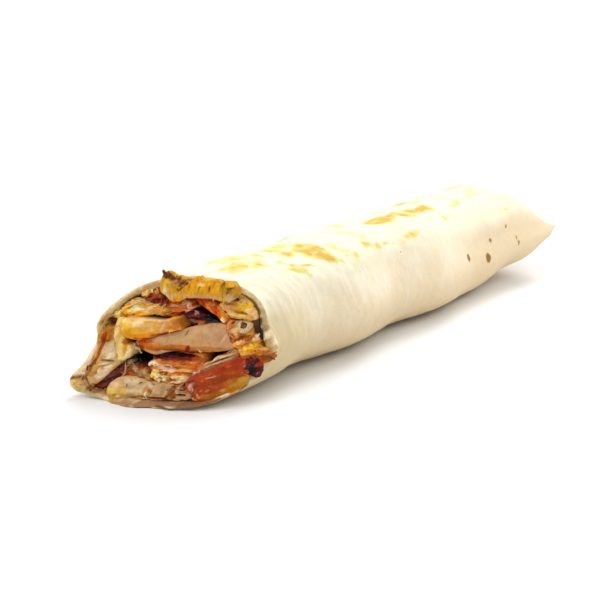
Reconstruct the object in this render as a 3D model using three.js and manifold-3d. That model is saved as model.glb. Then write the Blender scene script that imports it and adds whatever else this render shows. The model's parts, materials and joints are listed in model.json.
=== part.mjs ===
// A doner kebab wrap lying on its side: one sheet of lavash rolled round strips of
// chicken, tomato, onion and red cabbage. The roll is cut on the slant at its near
// end, where every strip shows, and pinched flat and shut at its far end.
//
// Millimetres. +Y runs from the cut end to the pinched end, +X to the right when
// looking along +Y, +Z up. The origin is at the middle of the footprint.
import * as THREE from 'three';
import { mergeVertices } from 'three/addons/utils/BufferGeometryUtils.js';
import Module from 'manifold-3d';

const wasm = await Module();
wasm.setup();

// ---------------------------------------------------------------- the roll
const FAR_END = 135.5; // y of the pinched tip
const CUT_Y = -121; // y of the cut face at x = 0, z = 0
const CUT_SLOPE_X = 0.5; // the cut face runs back by this much per mm to the right
const CUT_SLOPE_Z = 0.5; // and by this much per mm of height
const CUT_CURL = 0.035; // the right edge curls further back, in mm per mm squared
const CUT_CURL_START = 14;
const AXIS_HEIGHT = 22;
const RUN = FAR_END - (CUT_Y + CUT_SLOPE_Z * AXIS_HEIGHT); // length along the axis

const WALL = 1.6; // one turn of lavash
const TURN_GAP = 0.5; // air between two turns
const INNER_TURN = 1.1; // the end of the sheet, rolled inside the first turn
const CAVITY_END = 234; // distance along the axis where the room for the filling ends

// Distances along the axis at which every solid has a section, so that all bend alike.
const STATIONS = [24, 48, 72, 96, 120, 144, 168, 192, 213];

// Outline of the cut mouth: a flat base, then anticlockwise round the roll. The lower
// left corner is drawn out into a lip, where the sheet folds back on itself.
const BASE_LEFT = -14;
const BASE_RIGHT = 7;
const MOUTH = [
  [BASE_RIGHT, 0],
  [18, 1.6],
  [26.2, 6],
  [30, 12],
  [30.8, 19],
  [28, 27],
  [23.2, 37],
  [15, 42.4],
  [2, 44.5],
  [-8, 43.4],
  [-16, 39.6],
  [-22.5, 33.5],
  [-26.8, 27],
  [-26.4, 19],
  [-29, 11.5],
  [-31, 7],
  [-27.5, 2.8],
  [-21, 0.8],
  [BASE_LEFT, 0],
];
const MOUTH_STEPS = 42;

// Away from the mouth the lip sinks back into the wall and the left wall fills out.
const MOUTH_RUN = 42;
const LIP = { x: -31, z: 6, push: 4.2, width: 9, height: 6.5 };
const LEFT_WALL = { x: -27, z: 25, push: -3.8, width: 10, height: 13 };
const SIDE_TRIM = 0.955; // right-hand width of the roll against that of the mouth

const ROLL_RISE = 1.025; // height of the roll against that of the mouth

// Soft bulges of the filling under the sheet, which fade out towards the far end.
const BULGE = { right: 1.9, left: 1.3, top: 0.6, pitch: 66, peak: -31, leftShift: 24, topShift: 12 };
const BULGE_FADE = [160, 205];

// The pinched end closes like an envelope: a level crease at PINCH_HEIGHT.
const PINCH_HEIGHT = 23;
const PINCH_FLAT = 0.07; // height left at the crease, against the roll's height
const PINCH_ABOVE = { start: 212, power: 1.55 }; // how the top comes down to the crease
const PINCH_BELOW = { start: 196, power: 1.45 }; // how the underside comes up to it
const TAPER_START = 150;
const TAPER = 0.08; // share of the width lost at the crease

// ---------------------------------------------------------------- the filling
// Each strip runs from the cut face to the pinched end. Its section is a spine of
// [x, z, half thickness] points in the cut face. recess is how far its cut end sits
// behind the rim of the lavash (a negative one stands out), end is where it stops.
const CHICKEN_GOLD = 0xe0a04a;
const CHICKEN_PALE = 0xd9c3a0;
const CHICKEN_BROWN = 0xb5703c;
const ONION_RED = 0x8c3a26;
const ONION_PALE = 0xb79a7c;
const CABBAGE_RED = 0x5c2026;
const TOMATO_RED = 0xc2401f;
const STRIPS = [
  { name: 'chicken_top', color: CHICKEN_GOLD, recess: -2.5, end: 226,
    spine: [[-6.3, 38.6, 2.8], [1.5, 39.2, 2.6], [8.8, 38.5, 2.3], [13.8, 37.3, 1.3]] },
  { name: 'chicken_nub', color: CHICKEN_BROWN, recess: 1.5, end: 219,
    spine: [[-14, 36.4, 1.3], [-10.8, 35.7, 1.4]] },
  { name: 'chicken_upper_left', color: CHICKEN_GOLD, recess: 0, end: 224,
    spine: [[-19.8, 30.6, 0.9], [-15, 31.8, 2.2], [-10.2, 31.6, 1.9], [-6.6, 31.6, 0.9]] },
  { name: 'chicken_upper_middle', color: CHICKEN_BROWN, recess: 2.5, end: 225,
    spine: [[-3.8, 33.2, 1.3], [1, 33.9, 2], [5, 32.9, 1.3]] },
  { name: 'chicken_upper_right', color: CHICKEN_BROWN, recess: 1, end: 221,
    spine: [[8, 34.6, 0.9], [11.2, 33.1, 1.4], [14.7, 31, 1]] },
  { name: 'chicken_right_pale', color: CHICKEN_PALE, recess: 0, end: 222,
    spine: [[15.4, 34.3, 1], [17.7, 33.5, 1.6], [19.6, 32.1, 1.1]] },
  { name: 'chicken_right_round', color: CHICKEN_PALE, recess: 0.5, end: 224,
    spine: [[18.2, 28.3, 1.7], [20.5, 26.8, 2.5], [21.6, 24.4, 1.9]] },
  { name: 'chicken_right_lower', color: CHICKEN_GOLD, recess: -1, end: 223,
    spine: [[22.3, 20.4, 1.1], [24.7, 19.4, 1.8], [26.5, 18.1, 1.2]] },
  { name: 'red_onion', color: ONION_RED, recess: 6, end: 220,
    spine: [[-0.5, 30.4, 0.6], [6.5, 29.4, 1.2], [12, 29.8, 0.7]] },
  { name: 'chicken_golden', color: CHICKEN_GOLD, recess: -1.5, end: 227,
    spine: [[-15.9, 25.6, 2.7], [-9.5, 25.9, 3.2], [-3, 27, 2.4], [1.2, 27.6, 1.1]] },
  { name: 'chicken_hanging', color: CHICKEN_PALE, recess: -0.5, end: 221,
    spine: [[-21, 28.1, 0.8], [-19.8, 23.8, 1.1], [-17.4, 20, 1.7], [-15.4, 17.4, 1.3]] },
  { name: 'chicken_centre', color: CHICKEN_PALE, recess: 0.5, end: 229,
    spine: [[-7.4, 19.9, 1.8], [-0.5, 21.6, 3], [7, 23.4, 3.6], [13.2, 24.1, 3.8], [16.7, 23.2, 2.6]] },
  { name: 'chicken_lower_middle', color: CHICKEN_BROWN, recess: 1, end: 227,
    spine: [[-3, 13.3, 2.3], [3, 13, 4.6], [8.2, 13.1, 4.1], [10.9, 14.2, 2.1]] },
  { name: 'onion_slice', color: ONION_PALE, recess: 1.5, end: 219,
    spine: [[14.2, 13.9, 1], [18, 16.3, 1.3], [21.2, 18.3, 0.8]] },
  { name: 'tomato', color: TOMATO_RED, recess: -1.5, end: 224,
    spine: [[13.4, 6.8, 2.3], [18, 8.8, 4], [21.6, 11, 3.2], [23, 14.2, 1.4]] },
  { name: 'red_cabbage_right', color: CABBAGE_RED, recess: 0.5, end: 218,
    spine: [[26.5, 14.3, 1], [26.3, 12.4, 0.9]] },
  { name: 'chicken_bottom', color: CHICKEN_PALE, recess: 0, end: 228,
    spine: [[-14, 4.8, 2], [-8.3, 5, 2.7], [-1, 4.8, 2.5], [5.4, 4.7, 2.1], [8.8, 4.9, 1.1]] },
  { name: 'chicken_left', color: CHICKEN_PALE, recess: -0.5, end: 225,
    spine: [[-23, 24.6, 1], [-22, 18.8, 1.8], [-20.4, 13.7, 3.1], [-21.9, 9.8, 1.8]] },
  { name: 'red_cabbage_left', color: CABBAGE_RED, recess: 3, end: 220,
    spine: [[-20, 5.8, 1.1], [-17.2, 8.3, 1.5], [-14.8, 11.5, 1.1]] },
  { name: 'chicken_shreds', color: CHICKEN_BROWN, recess: 4, end: 221,
    spine: [[-11.2, 11.2, 1.9], [-8.2, 10.8, 2], [-5.9, 9.9, 1.2]] },
];
const STRIP_ROUNDING = 0.35; // share of the half thickness rounded off at the ends
const STRIP_ROUNDING_RUN = 1.2;
const SECTION_STEP = 3.4; // length of one side of a strip's section
const SECTION_SIDES = { min: 10, max: 20 };

// ---------------------------------------------------------------- bending
const smooth = (low, high, value) => THREE.MathUtils.smoothstep(value, low, high);

const hill = (spot, x, z) =>
  spot.push * Math.exp(-(((x - spot.x) / spot.width) ** 2) - ((z - spot.z) / spot.height) ** 2);

function cutFace(x, z) {
  const curl = Math.max(0, x - CUT_CURL_START);
  return CUT_Y + CUT_SLOPE_X * x + CUT_SLOPE_Z * z + CUT_CURL * curl ** 2;
}

// Takes a point of the mouth's section, and a distance along the axis, to its place
// in the roll. Everything is bent by this one function, so neighbours stay apart.
function bend(x, z, along) {
  const start = cutFace(x, z);
  const y = start + ((FAR_END - start) * along) / RUN;
  const roll = smooth(0, MOUTH_RUN, along);
  const pinch = z > PINCH_HEIGHT ? PINCH_ABOVE : PINCH_BELOW;
  const shut = Math.max(0, (along - pinch.start) / (RUN - pinch.start)) ** pinch.power;
  const bulging = roll * (1 - smooth(BULGE_FADE[0], BULGE_FADE[1], along));
  const wave = (shift) => bulging * Math.cos((2 * Math.PI * (y - BULGE.peak - shift)) / BULGE.pitch);

  let px = x + roll * (hill(LIP, x, z) + hill(LEFT_WALL, x, z));
  px *= x > 0 ? 1 + roll * (SIDE_TRIM - 1) : 1;
  px += (x / 30) * (x > 0 ? BULGE.right * wave(0) : BULGE.left * wave(BULGE.leftShift));
  px *= 1 - TAPER * smooth(TAPER_START, RUN, along);

  const risen = z * (1 + roll * (ROLL_RISE - 1)) + (z / 45) * BULGE.top * wave(BULGE.topShift);
  const pz = THREE.MathUtils.lerp(risen, PINCH_HEIGHT, shut * (1 - PINCH_FLAT));
  return new THREE.Vector3(px, y, pz);
}

// Extrudes a flat section and bends it. stations are the distances along the axis of
// the extrusion's layers, so the layers need not be evenly spaced.
function bentExtrusion(section, stations, rounding = 0) {
  const shape = new THREE.Shape(section);
  const capped = rounding > 0;
  const last = stations.length - 1;
  const geometry = new THREE.ExtrudeGeometry(shape, {
    depth: capped ? last - 2 : last,
    steps: capped ? last - 2 : last,
    bevelEnabled: capped,
    bevelThickness: 1,
    bevelSize: rounding,
    bevelOffset: -rounding,
    bevelSegments: 1,
  });
  geometry.deleteAttribute('normal');
  geometry.deleteAttribute('uv');
  const merged = mergeVertices(geometry, 1e-4);
  const position = merged.getAttribute('position');
  for (let i = 0; i < position.count; i += 1) {
    const layer = Math.round(position.getZ(i)) + (capped ? 1 : 0);
    const bent = bend(position.getX(i), position.getY(i), stations[layer]);
    position.setXYZ(i, bent.x, bent.y, bent.z);
  }
  return merged;
}

// ---------------------------------------------------------------- solids
function toSolid(geometry) {
  // A section's (x, z) becomes the world's (x, z) and its depth becomes +Y, which turns
  // the faces inside out, so each triangle is wound the other way.
  const triangles = Uint32Array.from(geometry.index.array);
  for (let i = 0; i < triangles.length; i += 3) {
    [triangles[i], triangles[i + 1]] = [triangles[i + 1], triangles[i]];
  }
  const vertProperties = Float32Array.from(geometry.getAttribute('position').array);
  return new wasm.Manifold(new wasm.Mesh({ numProp: 3, vertProperties, triVerts: triangles }));
}

function toMesh(solid, name, color) {
  const { vertProperties, triVerts } = solid.getMesh();
  const geometry = new THREE.BufferGeometry();
  geometry.setAttribute('position', new THREE.BufferAttribute(vertProperties, 3));
  geometry.setIndex(new THREE.BufferAttribute(triVerts, 1));
  geometry.computeVertexNormals();
  const material = new THREE.MeshStandardMaterial({ color, roughness: 0.7, metalness: 0 });
  const mesh = new THREE.Mesh(geometry, material);
  mesh.name = name;
  return mesh;
}

// ---------------------------------------------------------------- sections
const mouthCurve = new THREE.SplineCurve(MOUTH.map(([x, z]) => new THREE.Vector2(x, z)));
const mouthOutline = mouthCurve
  .getSpacedPoints(MOUTH_STEPS)
  .map((point) => new THREE.Vector2(point.x, Math.max(0, point.y)));

// The mouth's outline moved in by a depth that may change along it.
function insetOutline(depthAt) {
  return mouthOutline.map((point, i) => {
    const share = i / MOUTH_STEPS;
    const before = mouthOutline[Math.max(0, i - 1)];
    const after = mouthOutline[Math.min(MOUTH_STEPS, i + 1)];
    const side = i === 0 || i === MOUTH_STEPS ? new THREE.Vector2(1, 0) : after.clone().sub(before);
    const inward = new THREE.Vector2(-side.y, side.x).normalize();
    return point.clone().addScaledVector(inward, depthAt(share));
  });
}

// The inner turn lines the roll from the lower right, where it leaves the outer turn,
// over the top to its free edge at the upper left. Shares of the way round the mouth.
const TURN_ROOT = 0.28;
const TURN_EDGE = 0.385;
const TURN_RAMP = 0.04;

function cavitySection() {
  const turnDepth = TURN_GAP + INNER_TURN;
  return insetOutline((share) => {
    const lined = smooth(TURN_ROOT - TURN_RAMP, TURN_ROOT, share) * (share < TURN_EDGE ? 1 : 0);
    return WALL + turnDepth * lined;
  });
}

function gapSection() {
  const inTurn = (_, i) => i / MOUTH_STEPS > TURN_ROOT && i / MOUTH_STEPS < TURN_EDGE + 1.5 / MOUTH_STEPS;
  const outer = insetOutline(() => WALL).filter(inTurn);
  const inner = insetOutline(() => WALL + TURN_GAP).filter(inTurn);
  return [...outer, ...inner.reverse()];
}

// A strip's section: its spine thickened on both sides, with round ends.
function stripSection(spine) {
  const points = spine.map(([x, z]) => new THREE.Vector2(x, z));
  const thick = spine.map(([, , half]) => half);
  const last = points.length - 1;
  const sides = { left: [], right: [] };
  points.forEach((point, i) => {
    const way = points[Math.min(last, i + 1)].clone().sub(points[Math.max(0, i - 1)]).normalize();
    const across = new THREE.Vector2(-way.y, way.x).multiplyScalar(thick[i]);
    sides.left.push(point.clone().add(across));
    sides.right.push(point.clone().sub(across));
    if (i === 0) sides.left.unshift(point.clone().addScaledVector(way, -thick[0] * 0.8));
    if (i === last) sides.left.push(point.clone().addScaledVector(way, thick[last] * 0.8));
  });
  const ring = [...sides.left, ...sides.right.reverse()].map((point) => new THREE.Vector3(point.x, point.y, 0));
  const curve = new THREE.CatmullRomCurve3(ring, true, 'centripetal');
  const count = THREE.MathUtils.clamp(
    Math.round(curve.getLength() / SECTION_STEP),
    SECTION_SIDES.min,
    SECTION_SIDES.max,
  );
  return curve.getSpacedPoints(count).slice(0, -1).map((point) => new THREE.Vector2(point.x, point.y));
}

// ---------------------------------------------------------------- assembly
function lavash() {
  const skinStations = [0, 10, ...STATIONS, 222, 230, 236, 241, RUN];
  const roomStations = [-6, 10, ...STATIONS, 222, 228, CAVITY_END];
  const skin = toSolid(bentExtrusion(mouthOutline, skinStations));
  const room = toSolid(bentExtrusion(cavitySection(), roomStations));
  const gap = toSolid(bentExtrusion(gapSection(), roomStations));
  return toMesh(skin.subtract(room).subtract(gap), 'lavash', 0xeadfc6);
}

function strip({ name, color, recess, end, spine }) {
  const rounding = STRIP_ROUNDING * Math.min(...spine.map(([, , half]) => half));
  const inner = [recess + STRIP_ROUNDING_RUN, ...STATIONS, end - STRIP_ROUNDING_RUN];
  const geometry = bentExtrusion(stripSection(spine), [recess, ...inner, end], rounding);
  return toMesh(toSolid(geometry), name, color);
}

const wrap = new THREE.Group();
wrap.add(lavash());
STRIPS.forEach((entry) => wrap.add(strip(entry)));

// Stand the wrap on the middle of its footprint.
const box = new THREE.Box3().setFromObject(wrap);
wrap.position.set(-(box.min.x + box.max.x) / 2, -(box.min.y + box.max.y) / 2, -box.min.z);
wrap.updateMatrixWorld(true);

export default wrap;
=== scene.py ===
"""A doner kebab wrap on a white studio floor: lavash rolled round chicken, tomato, onion and red cabbage.

Each piece that stands for a CAD node is bent by the same function as the CAD solids, so it stays where the
node is. Torn fibres and crumbs lie on the cut. Sections are in millimetres in the plane of the cut: x to the
right, z up, and "along" is the distance behind the cut face. The mesh code works in millimetres and writes
metres.
"""

import json
import math

import bmesh
import bpy
import numpy as np
from mathutils import Matrix, Vector
from mathutils.geometry import delaunay_2d_cdt


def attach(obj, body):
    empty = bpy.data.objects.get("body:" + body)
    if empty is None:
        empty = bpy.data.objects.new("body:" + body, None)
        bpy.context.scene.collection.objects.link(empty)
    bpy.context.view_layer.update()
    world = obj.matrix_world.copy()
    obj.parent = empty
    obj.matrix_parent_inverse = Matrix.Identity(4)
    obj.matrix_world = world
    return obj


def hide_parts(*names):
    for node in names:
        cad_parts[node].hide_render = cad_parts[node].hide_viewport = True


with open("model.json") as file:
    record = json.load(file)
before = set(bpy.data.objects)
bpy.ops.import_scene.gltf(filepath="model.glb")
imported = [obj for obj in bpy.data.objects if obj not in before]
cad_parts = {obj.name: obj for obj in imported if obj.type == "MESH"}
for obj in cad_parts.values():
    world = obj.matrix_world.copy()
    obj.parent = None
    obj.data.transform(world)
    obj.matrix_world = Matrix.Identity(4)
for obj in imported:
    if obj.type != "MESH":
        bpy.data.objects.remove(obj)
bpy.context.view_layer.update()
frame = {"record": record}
MM = 0.001

# ------------------------------------------------------------------ the roll, as in the CAD
FAR_END = 135.5
CUT_Y, CUT_SLOPE_X, CUT_SLOPE_Z, CUT_CURL, CUT_CURL_START = -121.0, 0.5, 0.5, 0.035, 14.0
AXIS_HEIGHT = 22.0
RUN = FAR_END - (CUT_Y + CUT_SLOPE_Z * AXIS_HEIGHT)
CENTRE = np.array([0.395, -1.023, 0.0])  # from the middle of the cut to the middle of the footprint
WALL = 1.6
CAVITY_END = 234.0
MOUTH = [
    (7, 0), (18, 1.6), (26.2, 6), (30, 12), (30.8, 19), (28, 27), (23.2, 37), (15, 42.4), (2, 44.5),
    (-8, 43.4), (-16, 39.6), (-22.5, 33.5), (-26.8, 27), (-26.4, 19), (-29, 11.5), (-31, 7), (-27.5, 2.8),
    (-21, 0.8), (-14, 0),
]
HALF_WIDTH, HEIGHT = 30.0, 45.0
MOUTH_RUN = 42.0  # how far behind the cut the mouth's own shape fades into the roll's
MOUTH_HILLS = [(-31, 6, 4.2, 9, 6.5), (-27, 25, -3.8, 10, 13)]  # x, z, push, width, height
SIDE_TRIM, ROLL_RISE = 0.955, 1.025
WAVE_LENGTH, WAVE_START, WAVE_FADE, WAVE_END = 66.0, 31.0, 160.0, 205.0
WAVE_RIGHT, WAVE_LEFT, WAVE_TOP = 1.9, 1.3, 0.6
LEFT_SHIFT, TOP_SHIFT = 24, 12  # how far along the waves on the left and on top come after those on the right
PINCH_HEIGHT, PINCH_FLAT = 23.0, 0.07
PINCH_START_ABOVE, PINCH_START_BELOW = 212.0, 196.0
PINCH_POWER_ABOVE, PINCH_POWER_BELOW = 1.55, 1.45
TAPER_START, TAPER = 150.0, 0.08


def smooth(low, high, value):
    t = np.clip((value - low) / (high - low), 0, 1)
    return t * t * (3 - 2 * t)


def band(height, value, low, full, fade, end):
    """height where value is between full and fade, falling to 0 at low and at end."""
    return height * smooth(low, full, value) * (1 - smooth(fade, end, value))


def hill(x, z, cx, cz, push, width, height):
    return push * np.exp(-(((x - cx) / width) ** 2) - ((z - cz) / height) ** 2)


def bend(x, z, along):
    """The places in the roll of points of the mouth's section, each at a distance along the axis, in mm."""
    curl = np.maximum(0, x - CUT_CURL_START)
    start = CUT_Y + CUT_SLOPE_X * x + CUT_SLOPE_Z * z + CUT_CURL * curl**2
    y = start + (FAR_END - start) * along / RUN
    roll = smooth(0, MOUTH_RUN, along)
    pinch_start = np.where(z > PINCH_HEIGHT, PINCH_START_ABOVE, PINCH_START_BELOW)
    pinch_power = np.where(z > PINCH_HEIGHT, PINCH_POWER_ABOVE, PINCH_POWER_BELOW)
    shut = (np.maximum(0, along - pinch_start) / (RUN - pinch_start)) ** pinch_power
    bulging = roll * (1 - smooth(WAVE_FADE, WAVE_END, along))

    def wave(shift=0):
        return bulging * np.cos(2 * np.pi * (y + WAVE_START - shift) / WAVE_LENGTH)

    px = x + roll * sum(hill(x, z, *shape) for shape in MOUTH_HILLS)
    px = px * np.where(x > 0, 1 + roll * (SIDE_TRIM - 1), 1)
    px = px + x / HALF_WIDTH * np.where(x > 0, WAVE_RIGHT * wave(), WAVE_LEFT * wave(LEFT_SHIFT))
    px = px * (1 - TAPER * smooth(TAPER_START, RUN, along))
    risen = z * (1 + roll * (ROLL_RISE - 1)) + z / HEIGHT * WAVE_TOP * wave(TOP_SHIFT)
    pz = risen + (PINCH_HEIGHT - risen) * shut * (1 - PINCH_FLAT)
    return np.stack([px, y, pz], axis=-1) + CENTRE


# ------------------------------------------------------------------ noise
HASH_X, HASH_Y, HASH_Z, HASH_SEED = 374761393, 668265263, 1440662683, 97531
HASH_MIX, HASH_MASK = 1274126177, 0xFFFFFFFF
OCTAVE_SEED = 17


def lattice(ix, iy, iz, seed):
    """A number from -1 to 1 for each whole point, the same in every run."""
    h = (ix * HASH_X + iy * HASH_Y + iz * HASH_Z + seed * HASH_SEED) & HASH_MASK
    h = ((h ^ (h >> 13)) * HASH_MIX) & HASH_MASK
    return ((h ^ (h >> 16)) & HASH_MASK) / HASH_MASK * 2 - 1


def noise(points, size, seed):
    """Smooth noise from -1 to 1. points is (..., 3), and size is one length or one for each axis."""
    p = np.asarray(points, float) / size
    cell = np.floor(p).astype(np.int64)
    f = p - cell
    f = f * f * (3 - 2 * f)
    total = 0
    for corner in np.ndindex(2, 2, 2):
        weights = np.abs(1 - np.array(corner) - f)
        weight = weights[..., 0] * weights[..., 1] * weights[..., 2]
        total = total + weight * lattice(*np.moveaxis(cell + corner, -1, 0), seed)
    return total


def fractal(points, size, seed, octaves=3):
    size = np.asarray(size, float)
    return sum(noise(points, size / 2**k, seed + OCTAVE_SEED * k) / 2**k for k in range(octaves))


def samples(*axes):
    """Points to take noise at, with any axis that isn't given at 0."""
    return np.stack(np.broadcast_arrays(*axes, *[0.0] * (3 - len(axes))), axis=-1)


# ------------------------------------------------------------------ curves
def numbers(words):
    """Rows of numbers, each written as one word with commas."""
    return [tuple(map(float, word.split(","))) for word in words]


def spline(points, per_span, closed):
    """A uniform Catmull-Rom curve through points."""
    p = np.array(points, float)
    n = len(p)
    spans = n if closed else n - 1
    t = np.linspace(0, 1, per_span, endpoint=False)[:, None]
    parts = []
    for i in range(spans):
        index = [i - 1, i, i + 1, i + 2]
        a, b, c, d = (p[k % n] for k in index) if closed else (p[min(max(k, 0), n - 1)] for k in index)
        u, v = (c - a) / 2, (d - b) / 2
        parts.append((2 * b - 2 * c + u + v) * t**3 + (3 * c - 3 * b - 2 * u - v) * t**2 + u * t + b)
    if not closed:
        parts.append(p[-1:])
    return np.concatenate(parts)


def lengths(curve):
    return np.concatenate([[0], np.cumsum(np.linalg.norm(np.diff(curve, axis=0), axis=1))])


def along_curve(distance, run, curve):
    """Points of a curve by their distance from its start."""
    return np.stack([np.interp(distance, run, curve[:, k]) for k in (0, 1)], axis=-1)


mouth_curve = spline(MOUTH, 200, closed=False)
mouth_curve[:, 1] = np.maximum(mouth_curve[:, 1], 0)
mouth_curve = np.concatenate([mouth_curve, mouth_curve[:1]])
mouth_lengths = lengths(mouth_curve)
GIRTH = mouth_lengths[-1]
SIDE_STEP = 0.9  # how far to each side of a point its direction is taken


def outline(arc):
    """A point of the mouth's outline, and the direction into the roll, by the distance round it."""

    def at(a):
        return along_curve(np.mod(a, GIRTH), mouth_lengths, mouth_curve)

    side = at(arc + SIDE_STEP) - at(arc - SIDE_STEP)
    side /= np.linalg.norm(side, axis=-1, keepdims=True)
    return at(arc), np.stack([-side[..., 1], side[..., 0]], axis=-1)


# ------------------------------------------------------------------ meshes
def linked(name, data):
    """A new object in the scene."""
    made = bpy.data.objects.new(name, data)
    bpy.context.scene.collection.objects.link(made)
    return made


def make_object(name, points, faces, slot, look, *nodes, **layers):
    """A piece that stands for nodes. Each layer is up to four numbers a vertex, for its material to read."""
    mesh = bpy.data.meshes.new(name)
    mesh.from_pydata((np.asarray(points) * MM).tolist(), [], faces)
    mesh.validate()
    mesh.shade_smooth()
    mesh.materials.append(look)
    for layer_name, channels in layers.items():
        values = np.zeros((len(mesh.vertices), 4), np.float32)
        for k, channel in enumerate(channels):
            values[:, k] = channel
        layer = mesh.color_attributes.new(layer_name, "FLOAT_COLOR", "POINT")
        layer.data.foreach_set("color", values.ravel())
    made = linked(name, mesh)
    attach(made, "root")
    if nodes:
        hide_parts(*nodes)


def grid_faces(rows, columns, wrap):
    """Quads between rows of points; wrap joins each row's last point to its first."""
    i, j = np.meshgrid(np.arange(rows - 1), np.arange(columns if wrap else columns - 1), indexing="ij")
    k = (j + 1) % columns
    here, after = i * columns, (i + 1) * columns
    quads = np.stack([here + j, here + k, after + k, after + j], axis=-1)
    return quads.reshape(-1, 4).tolist()


# ------------------------------------------------------------------ colours
DAB_RAGGED, DAB_GRAIN = 0.24, 1.5
DAB_FULL, DAB_END = 0.65, 1.35  # where a dab starts to fade and where it ends, as shares of its size
VIVID_GAIN, VIVID_DROP, DARKEST, LIGHTEST = 1.12, 0.012, 0.002, 0.95


def rgb(text):
    """A colour written as it looks on screen, such as "e0c090", as linear light."""
    parts = [int(text[k : k + 2], 16) / 255 for k in (0, 2, 4)]
    return tuple(c / 12.92 if c < 0.04045 else ((c + 0.055) / 1.055) ** 2.4 for c in parts) + (1.0,)


def tone(text):
    return np.array(rgb(text)[:3])


def along_fibres(x, z, degrees):
    """Lengths along and across a direction."""
    c, s = math.cos(math.radians(degrees)), math.sin(math.radians(degrees))
    return x * c + z * s, z * c - x * s


def painted(section, base, dabs, seed):
    """Colour and relief of points of the cut: a base colour with soft dabs laid over it, some of them painted
    light and shade.

    A dab is x, z, half width, half height, turn in degrees, colour, strength, and how far it sinks in."""
    colour = np.tile(tone(base), (len(section), 1))
    relief = np.zeros(len(section))
    ragged = DAB_RAGGED * fractal(samples(*section.T), DAB_GRAIN, seed, 2)
    for dab in dabs.split():
        x, z, wide, high, turn, tint, strength, *sink = dab.split(",")
        long, across = along_fibres(section[:, 0] - float(x), section[:, 1] - float(z), float(turn))
        away = np.hypot(long / float(wide), across / float(high)) + ragged
        weight = float(strength) * (1 - smooth(DAB_FULL, DAB_END, away))
        colour += (tone(tint) - colour) * weight[:, None]
        if sink:
            relief += float(sink[0]) * weight
    return colour, relief


def vivid(colour):
    """The same colour with less grey in it, as the wet surface's sheen adds some back."""
    grey = colour.mean(axis=-1, keepdims=True)
    return np.clip(grey + (colour - grey) * VIVID_GAIN - VIVID_DROP, DARKEST, LIGHTEST)


# ------------------------------------------------------------------ materials
class Look:
    """A material's node tree, with short names for the nodes it uses."""

    def __init__(self, name, **shader):
        self.material = bpy.data.materials.new(name)
        self.material.use_nodes = True
        self.tree = self.material.node_tree
        self.shader = next(n for n in self.tree.nodes if n.type == "BSDF_PRINCIPLED")
        for key, value in shader.items():
            self.shader.inputs[key.replace("_", " ")].default_value = value
        self.where = self.add("ShaderNodeTexCoord").outputs["Object"]

    def add(self, kind, inputs=(), **settings):
        made = self.tree.nodes.new(kind)
        for key, value in settings.items():
            setattr(made, key, value)
        for key, value in dict(inputs).items():
            self.feed(made.inputs[key], value)
        return made

    def feed(self, socket, value):
        if isinstance(value, bpy.types.NodeSocket):
            self.tree.links.new(value, socket)
        else:
            socket.default_value = value

    def attribute(self, name):
        """A painted layer's colour, its three channels and its fourth."""
        read = self.add("ShaderNodeAttribute", attribute_name=name)
        split = self.add("ShaderNodeSeparateColor", {0: read.outputs["Color"]})
        return read.outputs["Color"], *split.outputs, read.outputs["Alpha"]

    def noise(self, size, detail=3.0, rough=0.55, stretch=None, twist=0.0):
        """Noise from 0 to 1 whose lumps are size mm across."""
        where = self.where
        if stretch:
            where = self.add("ShaderNodeMapping", {"Vector": where, "Scale": stretch}).outputs[0]
        inputs = {"Vector": where, "Scale": 1 / (size * MM), "Detail": detail, "Roughness": rough}
        return self.add("ShaderNodeTexNoise", {**inputs, "Distortion": twist}).outputs["Fac"]

    def math(self, operation, a, b):
        return self.add("ShaderNodeMath", {0: a, 1: b}, operation=operation).outputs[0]

    def total(self, first, *parts):
        """first with each part, a value and its share, added to it."""
        for value, share in parts:
            first = self.math("ADD", first, self.math("MULTIPLY", value, share))
        return first

    def span(self, value, low, high, out_low=0.0, out_high=1.0):
        inputs = {"Value": value, "From Min": low, "From Max": high, "To Min": out_low, "To Max": out_high}
        return self.add("ShaderNodeMapRange", inputs, interpolation_type="SMOOTHSTEP").outputs[0]

    def jitter(self, value, wobble, amount):
        """value with noise added to it, so that what is made from it gets a ragged edge."""
        return self.total(value, (self.math("SUBTRACT", wobble, 0.5), amount))

    def mix(self, factor, a, b, blend="MIX"):
        made = self.add("ShaderNodeMix", data_type="RGBA", blend_type=blend)
        self.feed(made.inputs[0], factor)
        self.feed(made.inputs[6], a)
        self.feed(made.inputs[7], b)
        return made.outputs[2]

    def over(self, colour, text, share, *shares):
        """colour with another laid over it, as much as its shares say when multiplied together."""
        for more in shares:
            share = self.math("MULTIPLY", share, more)
        return self.mix(share, colour, rgb(text))

    def stained(self, colour, text):
        return self.mix(1.0, colour, rgb(text), "MULTIPLY")

    def ramp(self, factor, stops):
        made = self.add("ShaderNodeValToRGB", {0: factor})
        elements = made.color_ramp.elements
        while len(elements) < len(stops):
            elements.new(0.5)
        for element, (position, colour) in zip(elements, stops):
            element.position = position
            element.color = rgb(colour)
        return made.outputs[0]

    def bump(self, height, distance, strength=0.8):
        inputs = {"Height": height, "Distance": distance * MM, "Strength": strength}
        self.feed(self.shader.inputs["Normal"], self.add("ShaderNodeBump", inputs).outputs[0])

    def finish(self, colour, rough):
        self.feed(self.shader.inputs["Base Color"], colour)
        self.feed(self.shader.inputs["Roughness"], rough)


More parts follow.
